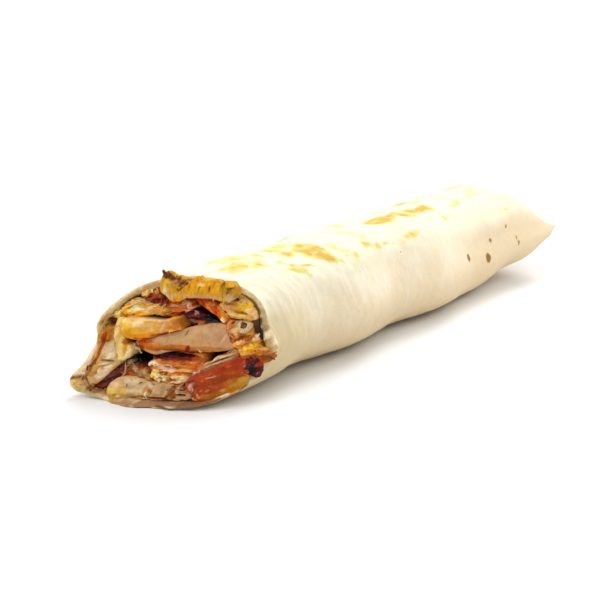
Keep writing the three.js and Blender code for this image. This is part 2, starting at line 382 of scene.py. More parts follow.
def lavash_look():
    """Floury dough with toasted marks, burnt spots, painted light and shade, its oily lining and its painted
    cut edge.
    """
    look = Look("lavash", Subsurface_Weight=0.1, Subsurface_Scale=0.0015, Specular_IOR_Level=0.25)
    look.shader.inputs["Subsurface Radius"].default_value = (1.0, 0.75, 0.5)
    _, toast, spot, inside, _ = look.attribute("marks")
    tint, _, _, _, rim = look.attribute("tint")
    _, high_side, along, low_side, _ = look.attribute("place")
    below = look.math("SUBTRACT", 1.0, high_side)

    grain, fine = look.noise(1.1, 4, 0.65), look.noise(0.35, 2)
    warm = look.span(look.noise(6.5, 3, 0.6, stretch=(1.0, 0.6, 1.0)), 0.5, 0.72, 0.0, 0.4)
    cloudy = look.span(look.noise(15, 3), 0.34, 0.66)
    dough = look.ramp(cloudy, [(0.0, "eddbb8"), (0.5, "f2e3c5"), (1.0, "f7ebd3")])
    for text, *shares in [
        ("f4e1c1", look.span(along, 0.5, 0.97, 0.0, 0.85)),  # towards the far end
        # painted light: the top is painted lighter, as if lit from above
        ("f3ecd4", high_side, 0.85),
        # painted shade: the far half of the sides is painted darker
        ("e0cba8", look.span(along, 0.45, 0.8), below, 0.9),  # the far half of the sides
        # painted shade: the lower sides are painted darker
        ("dac298", low_side, 0.95),
        ("d2b98c", look.span(grain, 0.52, 0.75), 0.3),
        ("faf0dc", look.span(fine, 0.45, 0.8), 0.3),  # flour
        ("ece2a8", warm, high_side),
        # painted shade: the sides near the cut are painted darker
        ("d6c292", look.span(along, 0.0, 0.17, 0.85, 0.0), below),  # the sides near the cut
        ("d8c8ae", look.span(look.noise(7, 2), 0.5, 0.72, 0.0, 0.22)),
    ]:
        dough = look.over(dough, text, *shares)

    ragged = look.noise(3.4, 4, 0.65)
    streaky = look.noise(1.5, 3, 0.6, stretch=(1.0, 0.35, 1.0))
    baked = look.jitter(look.jitter(toast, ragged, 0.6), streaky, 0.4)
    baked = look.math("MULTIPLY", look.span(baked, -0.05, 0.95), look.span(toast, 0.0, 0.3))
    crust = look.ramp(baked, [(0.0, "f2ecb8"), (0.3, "e8da90"), (0.6, "e4d07c"), (0.95, "d6ae52")])
    colour = look.mix(look.span(baked, 0.0, 0.4), dough, crust)
    burnt = look.span(look.jitter(spot, grain, 0.5), 0.25, 0.75)
    colour = look.mix(burnt, colour, look.ramp(burnt, [(0.0, "dcc08a"), (0.5, "b08e52"), (1.0, "8a6a32")]))

    # the oily lining, painted dark brown partly as shade inside the roll
    lining = look.ramp(look.noise(3, 3), [(0.3, "5a3010"), (0.55, "7c5426"), (0.75, "96703c")])
    colour = look.mix(inside, colour, lining)
    mottled = look.mix(look.span(grain, 0.42, 0.7, 0.0, 0.4), tint, look.stained(tint, "c8975c"))
    colour = look.mix(look.span(look.jitter(rim, grain, 0.35), 0.25, 0.75), colour, mottled)
    look.finish(colour, look.span(rim, 0.1, 0.9, 0.74, 0.45))
    look.bump(look.total(look.math("MULTIPLY", grain, 0.6), (fine, 0.25), (look.noise(4.5, 2), 1.2)), 0.16)
    return look.material


def food_look(name, wet=0.05, spice=0.35, fibre=(1, 1, 1), fibre_size=0.9, painted_shade="240a05", streak=0.55):
    """Chicken or a vegetable: its painted colour, broken up by fibres, specks of spice and a wet sheen, and
    painted light and shade.
    """
    look = Look(
        name,
        Subsurface_Weight=0.1,
        Subsurface_Scale=0.0007,
        Specular_IOR_Level=0.12,
        Coat_Weight=wet,
        Coat_Roughness=0.12,
    )
    look.shader.inputs["Subsurface Radius"].default_value = (1.0, 0.45, 0.2)
    tint, _, _, _, deep = look.attribute("tint")
    strands = look.noise(fibre_size, 4, 0.62, stretch=fibre, twist=0.6)
    grain, patch = look.noise(0.6, 3, 0.6), look.noise(2.4, 3, 0.6)
    painted_highlight = 0.08 + 0.46 * streak
    # painted shade in the fibres' grooves, and painted highlight on their ridges, where the bump is low and
    # high
    colour = look.mix(look.span(strands, 0.3, 0.56, streak, 0.0), tint, look.stained(tint, "c27c48"))
    colour = look.mix(look.span(strands, 0.54, 0.74, 0.0, painted_highlight), colour, look.over(tint, "fff2d4", 0.55))
    colour = look.mix(look.span(patch, 0.5, 0.72, 0.0, 0.3), colour, look.stained(tint, "e0a868"))
    if spice:
        colour = look.over(colour, "7c3410", look.span(grain, 0.6, 0.7, 0.0, spice))
    # painted shade: the sides are painted darker the deeper they lie behind the cut
    look.finish(look.over(colour, painted_shade, deep), look.span(grain, 0.3, 0.7, 0.3, 0.6))
    look.bump(look.total(strands, (grain, 0.35)), 0.15 + 0.35 * streak)
    return look.material


# ------------------------------------------------------------------ what the cut shows
FLAT, UPRIGHT = (0.4, 1, 1.7), (1.7, 1, 0.4)  # fibres that lie level, or stand
# Each filling: how far its face is behind the cut, its colour, which way its fibres lie in degrees, how torn
# it is, its look, its outline as x,z points, and its dabs, which painted() explains. Besides own colours the
# dabs paint highlights, and paint shade into holes and gaps as near-black and dark red dabs that sink in.
STRIPS = {
    "chicken_top": (-3, "d39b3c", 80, 0.4, dict(fibre=UPRIGHT, spice=0.15, streak=0.4), """
    -8,43.2 -7.8,45.3 -6.5,46.2 -4,44.9 -1.6,44.8 .8,43.7 3.3,44.8 6,44 9.2,44.1 12.1,43.6 14.5,43.7 15.5,44
    16.7,42.8 17.9,40.8 18.1,39.4 17.1,37.7 15.8,37.7 12.2,38.1 7.3,38.2 3.3,38 1.7,38.1 0,36.9 -2.8,36.7
    -5,38.5 -7.2,40.4
    """, """
    -5.4,41.6,2.1,3.4,0,c09756,.85 -5.4,42.6,1.1,1.5,0,d7b045,.9,-.3 -5.2,39.9,.92,1.5,0,e7d2a2,.85,-.2
    -3.3,38.1,2.1,1.3,0,d4b07f,.9,-.2 -6.6,45.2,1.6,1.1,0,6b3b21,.98,.3 -4.6,44.6,1.4,.91,-25,77452a,.95,.3
    -2.3,43.9,1.4,1.1,-10,875537,.9,.4 -.2,42.8,1.3,1.1,-10,794b2c,.9,.5 -2.9,42.4,.92,1.4,0,bc8b4d,.8,-.3
    -.8,41.2,.92,1.5,-15,875318,.85,.5 .9,43,.85,.91,0,bc7b37,.8 4.2,43.2,2.5,1.3,0,e39b21,.95,-.2
    7.9,42.1,2.8,2.3,0,e5ab21,.95 11.4,41.9,1.8,1.9,0,e1a518,.95,-.1 3.9,40.8,1.8,1.5,0,e3ac37,.9
    6.7,42.8,1.1,.6,0,efd29c,.9,-.3 9.3,41.1,.42,1.3,8,965b0f,.95,.5 5.9,40.9,.32,1.3,-5,b47521,.8,.3
    2.5,41.7,.32,1.3,0,b4751c,.8,.3 10.3,42.7,.32,1.1,0,bc7b13,.7,.2 13.2,42.7,.71,1.1,25,87570f,.9,.4
    14.9,41.4,2.1,1.5,-10,ac8537,.9,.2 16.1,43,1.1,.76,20,ddb454,.9,-.3 17.6,41.2,.92,1.1,0,bc9345,.85
    15.8,41.8,1.3,.38,20,794f11,.85,.3 16.9,38.7,2.5,1.1,-20,c8a77a,.9 6.9,38.5,7.8,.83,-1,d3a576,.95
    11.7,38.6,3.5,.76,2,c79d68,.9 18.5,39.4,1.1,.76,-30,b49164,.85"""),
    # chicken_nub: its near-black and dark red dabs low down are painted shade in the gap beneath it
    "chicken_nub": (0.5, "9c4d24", 20, 1.2, {}, """
    -15.1,38.5 -14.3,39.4 -13,39.5 -11.8,39.2 -10.5,39.7 -8.9,38.9 -7.9,37.2 -6.6,35.9 -7.5,34.3 -9.5,34
    -11.7,35.2 -13.1,36.5 -14.5,37.1
    """, """
    -13.6,38.1,1.3,1.3,0,e2af5c,1,-.8 -14.3,38.6,.64,.6,0,edcd87,.9,-.4 -12.4,38.8,.71,.68,0,e0b26c,.95,-.5
    -10.3,38.1,1.4,1.1,0,bf7438,.95,-.5 -9.9,38.8,.85,.6,0,d29455,.9,-.4 -11.2,37.2,1.1,.83,0,964618,.9,.3
    -8.9,37,1.1,1.3,0,a34c24,.9,-.2 -9.3,35.5,1.8,.98,0,671408,.95,.6 -7.3,36,.71,1.5,0,4a0905,.95,.8
    -12.3,36.6,.5,.76,0,77310d,.9,.5"""),
    "chicken_upper_left": (0, "e6b15a", 14, 1.5, dict(fibre=FLAT, streak=0.4), """
    -22.7,30.7 -21.4,31.7 -20.2,32.8 -18.2,34.6 -16.1,35.7 -14.3,35.6 -11.5,34.5 -9.1,33.5 -7.3,32.9 -6.3,32.5
    -4.1,32.1 -4,31.6 -6.7,31.4 -10.3,30.7 -12.6,30.1 -16,30.3 -18.3,29.8 -20.8,29.2
    """, """
    -14.8,32.7,2.1,.91,0,fff8c6,.95,-.3 -14.6,35.5,1.2,.45,0,fff3c6,.95,-.3 -12,35,1.1,.57,0,f8d3ab,.85,-.2
    -16.6,34.1,1.4,.45,25,ffefca,.85,-.3 -9.5,32.5,1.4,.53,10,fee2b4,.8,-.3
    -17.1,34.4,.89,.57,0,f2b98c,.85,-.2 -13.4,34,2.1,.76,0,e6b350,.8 -14.5,32.9,2.1,.76,0,ffefb4,.95,-.5
    -17.3,32.8,1.1,.53,20,b1762a,.85,.5 -11.5,33.4,1.4,.45,12,c28740,.8,.4 -19.5,31.8,.85,.6,30,fee9ad,.9,-.4
    -11.4,32,1.8,.53,0,fed8ab,.85,-.2 -15.8,31.2,1.8,.95,0,ffd583,.9,-.4 -13.8,30.5,1.6,.87,0,f29c2c,.95,-.2
    -14.9,29.5,2.5,.45,0,c27213,.95,.4 -18.8,30.6,1.4,1.5,0,da9f40,.85 -20.2,32,1.1,.76,0,c3975f,.7
    -21.1,30.1,1.1,1.5,0,f2d581,.85,-.3 -22.3,31.8,.71,1.1,0,d2b768,.8 -7.9,31.9,2.1,.83,0,f0b362,.8
    -4.9,31.4,1.4,.68,0,d7853e,.8 -10,33.2,1.4,.53,0,f8cd95,.75,-.2 -17.9,32.5,1.4,.38,25,c27a2c,.8,.4
    -11.5,31.1,1.1,.38,-10,e3ae49,.7,.2"""),
    "chicken_upper_middle": (2, "d6773c", -12, 1.6, dict(fibre=FLAT), """
    -8.5,31.9 -7.6,33.6 -5.1,34.6 -2.8,35.1 -1.3,35.9 1,35.5 1.6,34.4 2.6,33.6 1.6,32.3 -1,31.6 -3.2,30.5
    -5.6,30.5 -7.8,30.8
    """, """
    -4.7,34.6,2.1,.83,0,c05b21,.9 -7.5,33.1,.99,.45,42,ffd2b4,.95,-.5 -4.3,33.3,1.4,.98,0,f09d5b,.85
    -4.3,32,1.2,.57,0,f38754,.8,-.2 -.8,34.2,1.2,.95,0,eaac7f,.8 -3.1,33.8,1.1,.45,-8,ffceb0,.8,-.3
    -2.2,33.1,1.1,.68,0,dc925b,.8 0,35.2,1.2,.76,0,f3c5a2,.9,-.3 1.3,34.6,.53,.53,0,fff4ee,.95,-.5
    2,33.3,1.1,.53,0,f7c5ab,.9,-.3 1.2,32.2,.89,.34,0,ffd9bd,.8,-.2 -1.6,31.2,4.2,.6,-5,a03412,.95,.4
    -6.4,34.4,.71,.53,0,973f18,.8,.4 -1.7,35.2,.57,.6,0,aa4e1c,.7,.3"""),
    "chicken_upper_right": (1.2, "c8612c", -42, 1.2, dict(fibre=(1, 1, 1)), """
    3.5,36.8 5.9,37.1 8.4,36.7 10.7,35.8 12.8,34.6 15.4,32.8 17.1,31.1 16.9,29.6 15.4,29.3 13.3,30.8 10.3,32.5
    7.4,34.2 5,35.4
    """, """
    13.6,33.1,2.8,.6,-48,ffa145,.95,-.5 12,33.1,1.8,.57,-50,da6119,.9,.4 15.4,31.6,1.1,.76,0,ffa839,.9
    6.8,36.3,3.2,.68,-8,b34517,.9 7,34.5,1.8,.91,-40,c35327,.8,.3 9.3,35.4,1.4,.68,-10,f89f67,.8,-.2
    8.9,33.8,2.1,.68,-42,e89155,.75 15.1,30.2,1.1,.83,0,ffe1a8,.95,-.4 10.1,36.7,1.1,.38,0,d68047,.7"""),
    "chicken_right_pale": (0, "d5a35c", -34, 1.2, dict(fibre=FLAT, streak=0.35), """
    12.9,35.5 14.3,36.5 15.9,36.7 18,36.9 19.7,37.1 21.9,35.6 23.6,33.4 24.4,31.6 24.2,30.3 22.9,30.7
    21.4,31.8 19.5,31.7 17.7,32.1 16.2,33.3 14.2,34.6
    """, """
    15.4,36.2,2.1,.45,-5,824b21,.85,.3 14.2,35.8,1.1,.3,0,ecc39a,.8,-.3 16.6,34.3,2.5,1.4,0,e6b170,.85
    17.8,35.2,2.1,.83,0,c3944f,.7 17.5,32.9,1.4,.68,0,eec78d,.9,-.3 15.4,33.9,1.1,.76,0,e3af7b,.75
    21.2,35,1.8,1.7,-40,e8b646,.95,-.2 22.6,33.3,1.8,1.4,-45,f7cd89,.95,-.3 24.1,31.3,.64,1.1,0,f2cf91,.95,-.4
    20.1,36.5,1.4,.6,0,e1ba70,.8 20.6,32.9,2.1,.42,-20,9b5f25,.9,.5 20,32.2,2.1,.49,-8,eec973,.9,-.3
    20.9,37.5,2.1,.45,-28,9b7c44,.7 19.3,34,.71,.53,0,c28035,.6,.2"""),
    # chicken_right_round: the dark dabs in the middle of its ring are the painted shade of its hole
    "chicken_right_round": (0.3, "db9856", -62, 1.0, dict(spice=0.2, streak=0.4), """
    17,28.4 17.2,29.9 18.5,30.8 20.1,31.1 22,30.7 23.5,29.6 24.4,27.8 24.6,26 25.7,24.1 26.3,22.7 25.5,21.9
    23.8,22.3 22.6,20.8 20.6,21.8 19,23.9 17.8,26
    """, """
    21.5,28.3,3.5,3.6,0,9b622e,.95,.5 21.5,28.4,2.6,2.6,0,ebbe88,.98,-.2 21.5,28.3,1.1,1.1,0,73401e,1,.5
    21.6,28.2,.53,.53,0,b37d49,.9,-.1 19.9,29.8,.71,.76,0,f7d9ad,.8,-.2 23.1,26.8,.71,.76,0,dba76b,.7
    23.6,26.3,1.1,.76,45,bf8d42,.8,.1 22.4,29.8,.85,.38,-30,c79256,.6,.2 20.5,26.8,.71,.38,-50,cf985d,.6,.1
    19.2,26.7,1.4,.91,0,f1c285,.9,-.4 17.3,27.3,.92,1.1,0,db9252,.8 23.8,24.9,1.4,.68,0,dfa756,.8
    19,30.9,2.8,.64,-6,871e0a,.98,.7 21.7,24,3.2,1.3,0,7b3814,.95,.3 20.5,24.7,.85,.6,0,df9f64,.85,-.3
    22.9,23.2,.92,.53,0,d7894e,.8,-.2 19.2,24.2,.92,1.9,28,bf6a39,.85 22.3,22.5,1.2,.68,0,f5b473,.85,-.4
    24.2,24,1.4,.68,0,bf6c33,.75,.2 25.8,23.8,.78,1.1,0,efcb95,.85,-.4 24.9,26.3,.42,1.5,10,69240a,.9,.5
    21.8,21.4,1.8,.91,0,e39a50,.85 19,23.9,.35,2.1,28,85240b,.95,.5 23.7,29.2,.35,1.5,25,79310d,.9,.5
    19.6,28.7,.42,1.5,-20,b77440,.6,.3"""),
    "chicken_right_lower": (-1, "c47230", -24, 1.3, {}, """
    22.7,20.6 23.5,21.5 24.4,22.2 25.5,22.2 27.1,20.8 28.7,19.5 30.1,18.5 31.1,17.1 30.6,15.6 29.6,15.1
    28.3,16.6 26.4,17.4 25.1,17.4 23.7,18.4
    """, """
    24.5,20.1,1.8,1.4,0,eeba59,.95,-.3 25.8,21,1.3,1.1,0,f3c349,.95,-.7 26,20.1,.92,.49,0,c87e08,.9,.2
    24.8,18.9,1.8,.53,0,eec171,.85,-.2 27.6,19.3,1.8,.98,0,c07c2a,.9 29.1,18.4,1.8,1.1,0,b17633,.95
    30.2,17.8,1.2,.98,0,bd8c56,.95,-.2 30.9,16.6,.64,.98,0,a56533,.9 28.2,19.8,1.4,.42,-15,e4b276,.8,-.3
    27.6,17.1,2.8,.83,-5,95451c,.95 29.5,16,1.4,.98,0,a15b2e,.95 29.6,18.8,.57,.38,-30,994d13,.7,.3
    27.9,17.9,.5,.38,0,dca252,.6,-.2 24.6,21.7,.78,.38,20,d49c52,.7"""),
    # red_onion: it lies deep, and its near-black dabs and sides are painted shade in the gap
    "red_onion": (4.5, "4b0d05", -16, 0.6, dict(wet=0.15, fibre=FLAT, spice=0, painted_shade="0c0302"), """
    -5.2,30.9 -1.6,31.7 2.6,32 5.7,30.8 9.3,29.3 12.8,27.9 10.7,26.7 7,26.3 3.2,27.3 -.7,28.6 -3.7,29.2
    """, """
    8.6,29.4,4.2,1.7,24,1b0502,.95,1.2 1.2,28,2.8,1.1,18,150202,.95,1.2 5.9,31.3,1.8,.76,20,5c1506,.8
    -.2,30.5,3.2,.98,-5,6e1708,.9 -3.7,30.3,1.8,.6,-5,993714,.85 4.7,29.5,1.8,.83,-30,6c1705,.75
    2.9,28.3,1.8,.45,-8,a36b55,.8,-.4 6,27.8,1.1,.83,0,d47940,.9,-.3 9.8,27.6,2.5,.53,-8,7e250d,.85
    3.6,31.2,.57,.6,0,e09e85,.9,-.4 -.5,29.3,2.1,.38,-8,390502,.8,.2"""),
    "chicken_golden": (
        -1.5, "e2a752", 8, 0.35, dict(fibre=(0.7, 1, 1.2), fibre_size=1.6, spice=0.05, streak=0.2), """
    -18.3,28.4 -17,29.2 -14.3,29.7 -10.6,29 -7.7,28.7 -4.9,28.7 -3.3,29 -2.1,29.7 -1,30.3 .1,29.4 1.3,28.3
    2.5,27 1,26.4 -1.6,25.6 -4.1,24.8 -5.9,24 -8.4,23.1 -10.9,22.4 -13.5,22.4 -15.6,23.1 -17.1,24.6 -17.9,26.5
    """, """
    -15.7,26.3,1.8,2.6,0,eec363,.9,-.3 -17,28.3,1.1,.76,0,f7e79b,.9,-.3 -12,27.9,2.1,1.4,0,f7dfa5,.9,-.3
    -15.2,28.1,1.4,.98,0,f4d185,.85,-.2 -14.7,24.3,2.1,1.5,0,d89725,.85 -12.2,25.1,1.4,1.1,0,ecb154,.8,-.1
    -8.6,29.4,7.8,.45,2,f0d3a7,.85 -7.8,26.8,3.5,1.7,0,daaf70,.8 -8.7,23.9,5.7,.91,7,d88930,.85
    -4,25.7,2.1,1.3,0,de9b52,.7 -1.9,27.9,2.1,1.9,0,d89f67,.85 -3,27.1,.5,1.9,-10,ecbf96,.6,-.2
    .9,29.1,2.1,.98,-8,b56f3d,.85 .7,27.4,2.1,.98,12,c0773d,.85 -1,25.1,5.3,.49,13,973e16,.95,.3
    -8.3,22.7,4.6,.42,3,b14c1b,.85,.2 3.4,27.6,.71,.83,0,843010,.9 -6.2,28.3,.28,1.5,5,c88b3d,.5,.2
    -8.9,25.7,.28,1.1,-8,cc8f34,.5,.2 -1.2,29,.28,1.1,-6,c47f41,.5,.2"""),
    "chicken_hanging": (-0.8, "e5c483", 86, 0.5, dict(fibre=UPRIGHT, spice=0.05, streak=0.2), """
    -20.1,28.6 -19,29.1 -18.2,27.4 -17.6,24.9 -16.8,22.6 -15.1,20.2 -12.8,18.6 -12.2,17.1 -13.5,15.6
    -14.8,14.7 -16,15.3 -17.5,18 -18.6,20.7 -20,24.1 -20.3,26.9
    """, """
    -19,28.7,1.4,.91,0,ecd38e,.9 -18.9,24.9,.92,3,0,f0cf8e,.9,-.3 -16.9,19.8,1.1,3,0,e6c278,.9,-.2
    -16.6,17.3,1.1,1.7,0,e5cb8a,.8 -14.5,18.9,.78,2.6,0,c79541,.85,.2 -15,21.3,1.1,1.1,0,a35523,.85
    -12.9,17.2,.5,1.5,-22,ecd6a7,.95,-.3 -14.9,15.2,1.1,.6,0,e3d391,.9,-.2 -18.8,21,.57,.53,0,f0d59e,.85,-.3
    -17.4,23.9,.35,2.6,2,d5ae53,.7,.3 -17.6,19,.28,1.5,0,c2a357,.6,.2"""),
    "chicken_centre": (0.3, "c59b75", 6, 0.12, dict(fibre_size=2.0, spice=0.04, streak=0.12), """
    -11.9,21.2 -9.3,21.9 -6.7,22.6 -4.5,23.5 -1.4,24.6 1.8,25.7 5,26.8 8.2,27.5 11.5,28.1 14.8,28.3 16.6,27.7
    17.4,25.6 18.8,23.6 20.1,21.8 20.2,20.6 18.5,20.1 15.6,19.7 12.3,19.4 8.9,19.2 5.5,19.2 2,19 -1.2,18.3
    -4.4,17.4 -7,17.9 -9.5,19.1
    """, """
    -8.5,20.4,2.8,1.9,10,c85e26,.95 -6.9,19.8,1.4,1.1,0,d27f35,.9,-.3 -10.2,21.2,2.1,.49,5,c5532b,.85
    -4.8,18.6,2.1,.57,0,b55828,.85 -4.9,22.5,3.2,.6,12,da9f7d,.9 -.5,24.1,3.5,.6,12,d4997d,.75
    .9,23,5,1.4,8,c3a174,.9 5.5,24.9,2.8,1.4,6,c5a179,.9 4.3,25.2,.32,1.3,-15,827247,.85,.5
    10.2,26.5,3.5,.98,3,caa370,.85 13.3,25.4,2.1,1.3,0,c19f84,.85,-.1 15.6,24.4,2.1,1.7,0,bd8e6c,.8
    6.7,26.6,2.5,.45,6,d49477,.75 4.3,19.7,14.2,1.1,1,aa622f,.9 1.6,20.4,7.1,.6,3,b97036,.85
    13,20.4,7.1,.6,-1,b77c4f,.9 5.5,19,10.6,.38,0,772f11,.85,.2 -3.7,20.6,1.8,.91,0,c88345,.75
    6.4,19.8,.78,1.3,0,79200a,.9,.5 8.7,22.3,5,.83,2,c79961,.7 17.7,25.3,.46,2.3,-15,deb293,.8,-.3
    -7.6,18.6,1.4,.49,-8,d87f43,.7,-.2 -9.9,18.2,1.4,1.9,0,280805,.6,.8 -1.3,22,.28,.95,-10,a28154,.5,.3
    10.2,24.2,.25,1.1,0,ad946a,.5,.2 15.3,22.1,1.1,.45,0,c88150,.7 3,19.3,1.8,.38,0,893e1d,.7,.3"""),
    # chicken_lower_middle: the dark red and near-black dabs along its top are painted shade on it
    "chicken_lower_middle": (0.8, "ce8046", 2, 1.3, dict(fibre=(0.25, 1, 1.8), spice=0.3), """
    -5.7,13.5 -5.1,14.4 -4,14.9 -4.9,16 -3.6,16.9 -.2,17.3 3.9,17.6 7.9,18.1 10.4,18.5 11.7,16.9 12.2,15.2
    12.4,13.8 12,12.4 11.1,10.6 9.5,9.1 6.8,7.8 3.4,7.4 .5,7.8 -1.5,7.6 -3.5,9.5 -4.2,11.9
    """, """
    -3.4,14,1.8,.76,-22,e8d8b3,.95,-.5 .1,12.7,2.1,.83,-22,ecc8a6,.9,-.5 -5.2,13.6,.53,.57,0,fbf4ef,1,-.8
    2.9,12.1,1.4,.83,0,f4d5b5,.9,-.3 -2.3,10.3,1.8,1.9,0,f4d98a,.95,-.4 .1,9.1,2.1,1.4,0,f6df9d,.95,-.4
    1.5,8.2,2.5,.68,0,f8e9bb,.9,-.3 3.2,16.4,8.5,1.3,0,691c12,.98,.9 1.2,17.4,7.8,.68,0,1a0404,.95,1.4
    -2.7,16.2,2.1,.91,0,470d0e,.95,.7 6,17.4,3.5,.53,0,4d1112,.9,.6 1.8,15.3,3.2,.45,0,993f23,.8,.2
    9.8,16.2,1.8,.76,0,a65034,.85 -2.9,11.8,.35,.38,0,a6902c,.8,.2 -.7,10.9,.78,.42,0,956411,.9,.6
    1.2,10.7,.53,.68,0,7f3b11,.95,.8 -.1,9.4,.42,.3,0,bea134,.7,.2 6.4,14.8,2.8,.68,0,ae5c2e,.9,.3
    6.5,13.4,3.2,.42,0,da8646,.85,-.2 6.9,12.2,3.2,.49,2,ecb879,.9,-.4 6.8,11.3,3.2,.34,2,c0621d,.9,.3
    6.3,14.1,3.2,.23,0,be6b34,.7,.2 10.5,14,1.3,1.9,-10,cd6f43,.85 2.4,13.2,1.8,.49,-5,b87546,.75
    6.2,9.7,3.5,.83,4,fae1a8,.9,-.3 5.3,8.1,2.1,.49,8,f6d7b7,.9,-.2 9.2,9.1,2.5,.49,18,eed3a8,.85,-.2
    11.1,11.2,1.2,.83,45,f4c8a6,.9,-.4 2.8,8.5,.92,.98,0,ae6d1b,.9,.5 9.5,10.2,1.4,.23,12,d6a15f,.6,.2
    5.3,10.4,2.1,.23,2,d68e3d,.7,.2 11,15.8,.71,1.5,0,b66041,.7"""),
    "onion_slice": (1.5, "c59972", 26, 1.1, dict(wet=0.12, fibre=FLAT, spice=0.1), """
    11.6,13.3 14.5,15.2 16.6,17.2 19.1,19 20.6,19.7 22.3,18.7 21.7,17 19.8,15.7 17.8,14.6 15.2,12.8 12.9,11.2
    11.8,11.5
    """, """
    16.9,17.1,5,.57,26,ffe3b9,.95,-.4 16.6,15.9,3.5,.26,28,754c29,.95,.5 18.1,15.7,4.2,.34,27,e2bb91,.9,-.3
    16.4,14.3,4.2,.53,25,d59970,.85 13.1,13,1.4,.83,0,af744c,.75 18.6,18.6,2.1,.42,15,8d4720,.8,.3
    20.9,19.2,1.1,.6,0,d9a776,.85 21.7,17.9,.85,.68,0,cc8155,.8 15.8,12.9,2.8,.26,26,b37b55,.6,.3
    19.7,17.3,2.1,.23,24,93633b,.7,.3"""),
    "tomato": (-1.5, "a14a14", 20, 0.6, dict(wet=0.12, fibre_size=1.5, spice=0, streak=0.2), """
    9.7,8.7 11.9,10.8 14.6,12 16.7,13.6 19.2,15 21.6,16.1 23.4,17.4 24.8,16.4 25,13.9 25.9,11.8 26.9,9.9
    26.6,8.2 25.7,5.9 24.1,4.8 21.7,4.1 19.3,3.4 16.5,2.8 14.2,3.1 12.8,5.3 10.6,7.1
    """, """
    12.8,9.8,3.2,.53,24,71200b,.9 15.8,11,2.8,.91,20,b44a14,.9 20.5,14.1,3.5,.98,22,993a09,.95
    18.6,13,2.1,.76,20,a94814,.85 22.5,13.1,1.4,1.5,0,ad5422,.85 23.4,16.2,1.4,.98,0,993409,.85
    23.5,14.4,.99,1.5,0,994416,.85 18.2,11.3,1.6,.3,15,e69f7f,.9,-.3 20.7,10.8,2.8,1.2,12,954418,.85
    16.5,8.5,3.5,1.5,0,95440b,.85 19.5,8.2,3.5,1.4,0,a14c16,.8 23.6,9.1,2.5,1.4,15,b66933,.9
    25.3,7.9,2.1,1.4,20,b88944,.9 23.2,6.4,3.2,1.1,12,b27533,.85 25.2,5.7,1.4,.49,35,ddbd87,.75,-.2
    26,10,1.1,.91,0,c99f53,.8 15.2,5.3,1.8,1.5,0,a14e1a,.85 19.6,4.4,3.2,1.1,0,ad6b2b,.9
    12,7.2,.71,1.3,0,dfa390,.95,-.5 14.4,3.2,1.1,.49,0,e6a779,.9,-.3 15.8,4.2,.5,.53,0,df936e,.85,-.4
    10.5,7.7,.85,.98,0,a1523a,.9 17.9,6.5,.57,.45,0,d3875d,.7,-.2 21.9,6.5,.85,.45,0,cf9f66,.7,-.2
    15.5,9.8,.42,.38,0,d77755,.7,-.2 14.1,7.7,.71,.45,30,883009,.6,.2 21.7,14.9,.71,.38,20,d75840,.7
    24.8,12.6,.57,1.1,0,b04c2b,.7"""),
    "red_cabbage_right": (-0.6, "4e0f0e", 70, 0.6, dict(wet=0.1, spice=0, painted_shade="10040a"), """
    24.5,16.2 25.2,17.1 26.3,17.1 27.6,16.4 28.6,15.1 29.1,13.4 29.1,11.4 28.7,10 27.9,10.7 26.7,11.6
    25.8,11.4 24.8,13.7
    """, """
    27,12.7,1.4,1.5,0,110105,.98,1.1 27.1,14.5,1.8,.83,0,481d1b,.85,-.2 25.4,16.1,1.4,.6,0,7f261b,.9,-.2
    25.4,14.4,.35,.83,-15,e6898b,.9,-.3 25.5,12.6,.78,1.5,0,52080e,.9 28.9,12.4,1.1,2.3,0,541b0c,.95,-.5
    28.8,14.7,1.1,.91,0,983c17,.9 28.9,10,1.1,.49,0,5f1f0e,.9 26.2,15.5,1.4,.38,0,6d181e,.7,.3
    28.2,11.9,.28,1.5,0,2f0808,.9,.4"""),
    "chicken_bottom": (
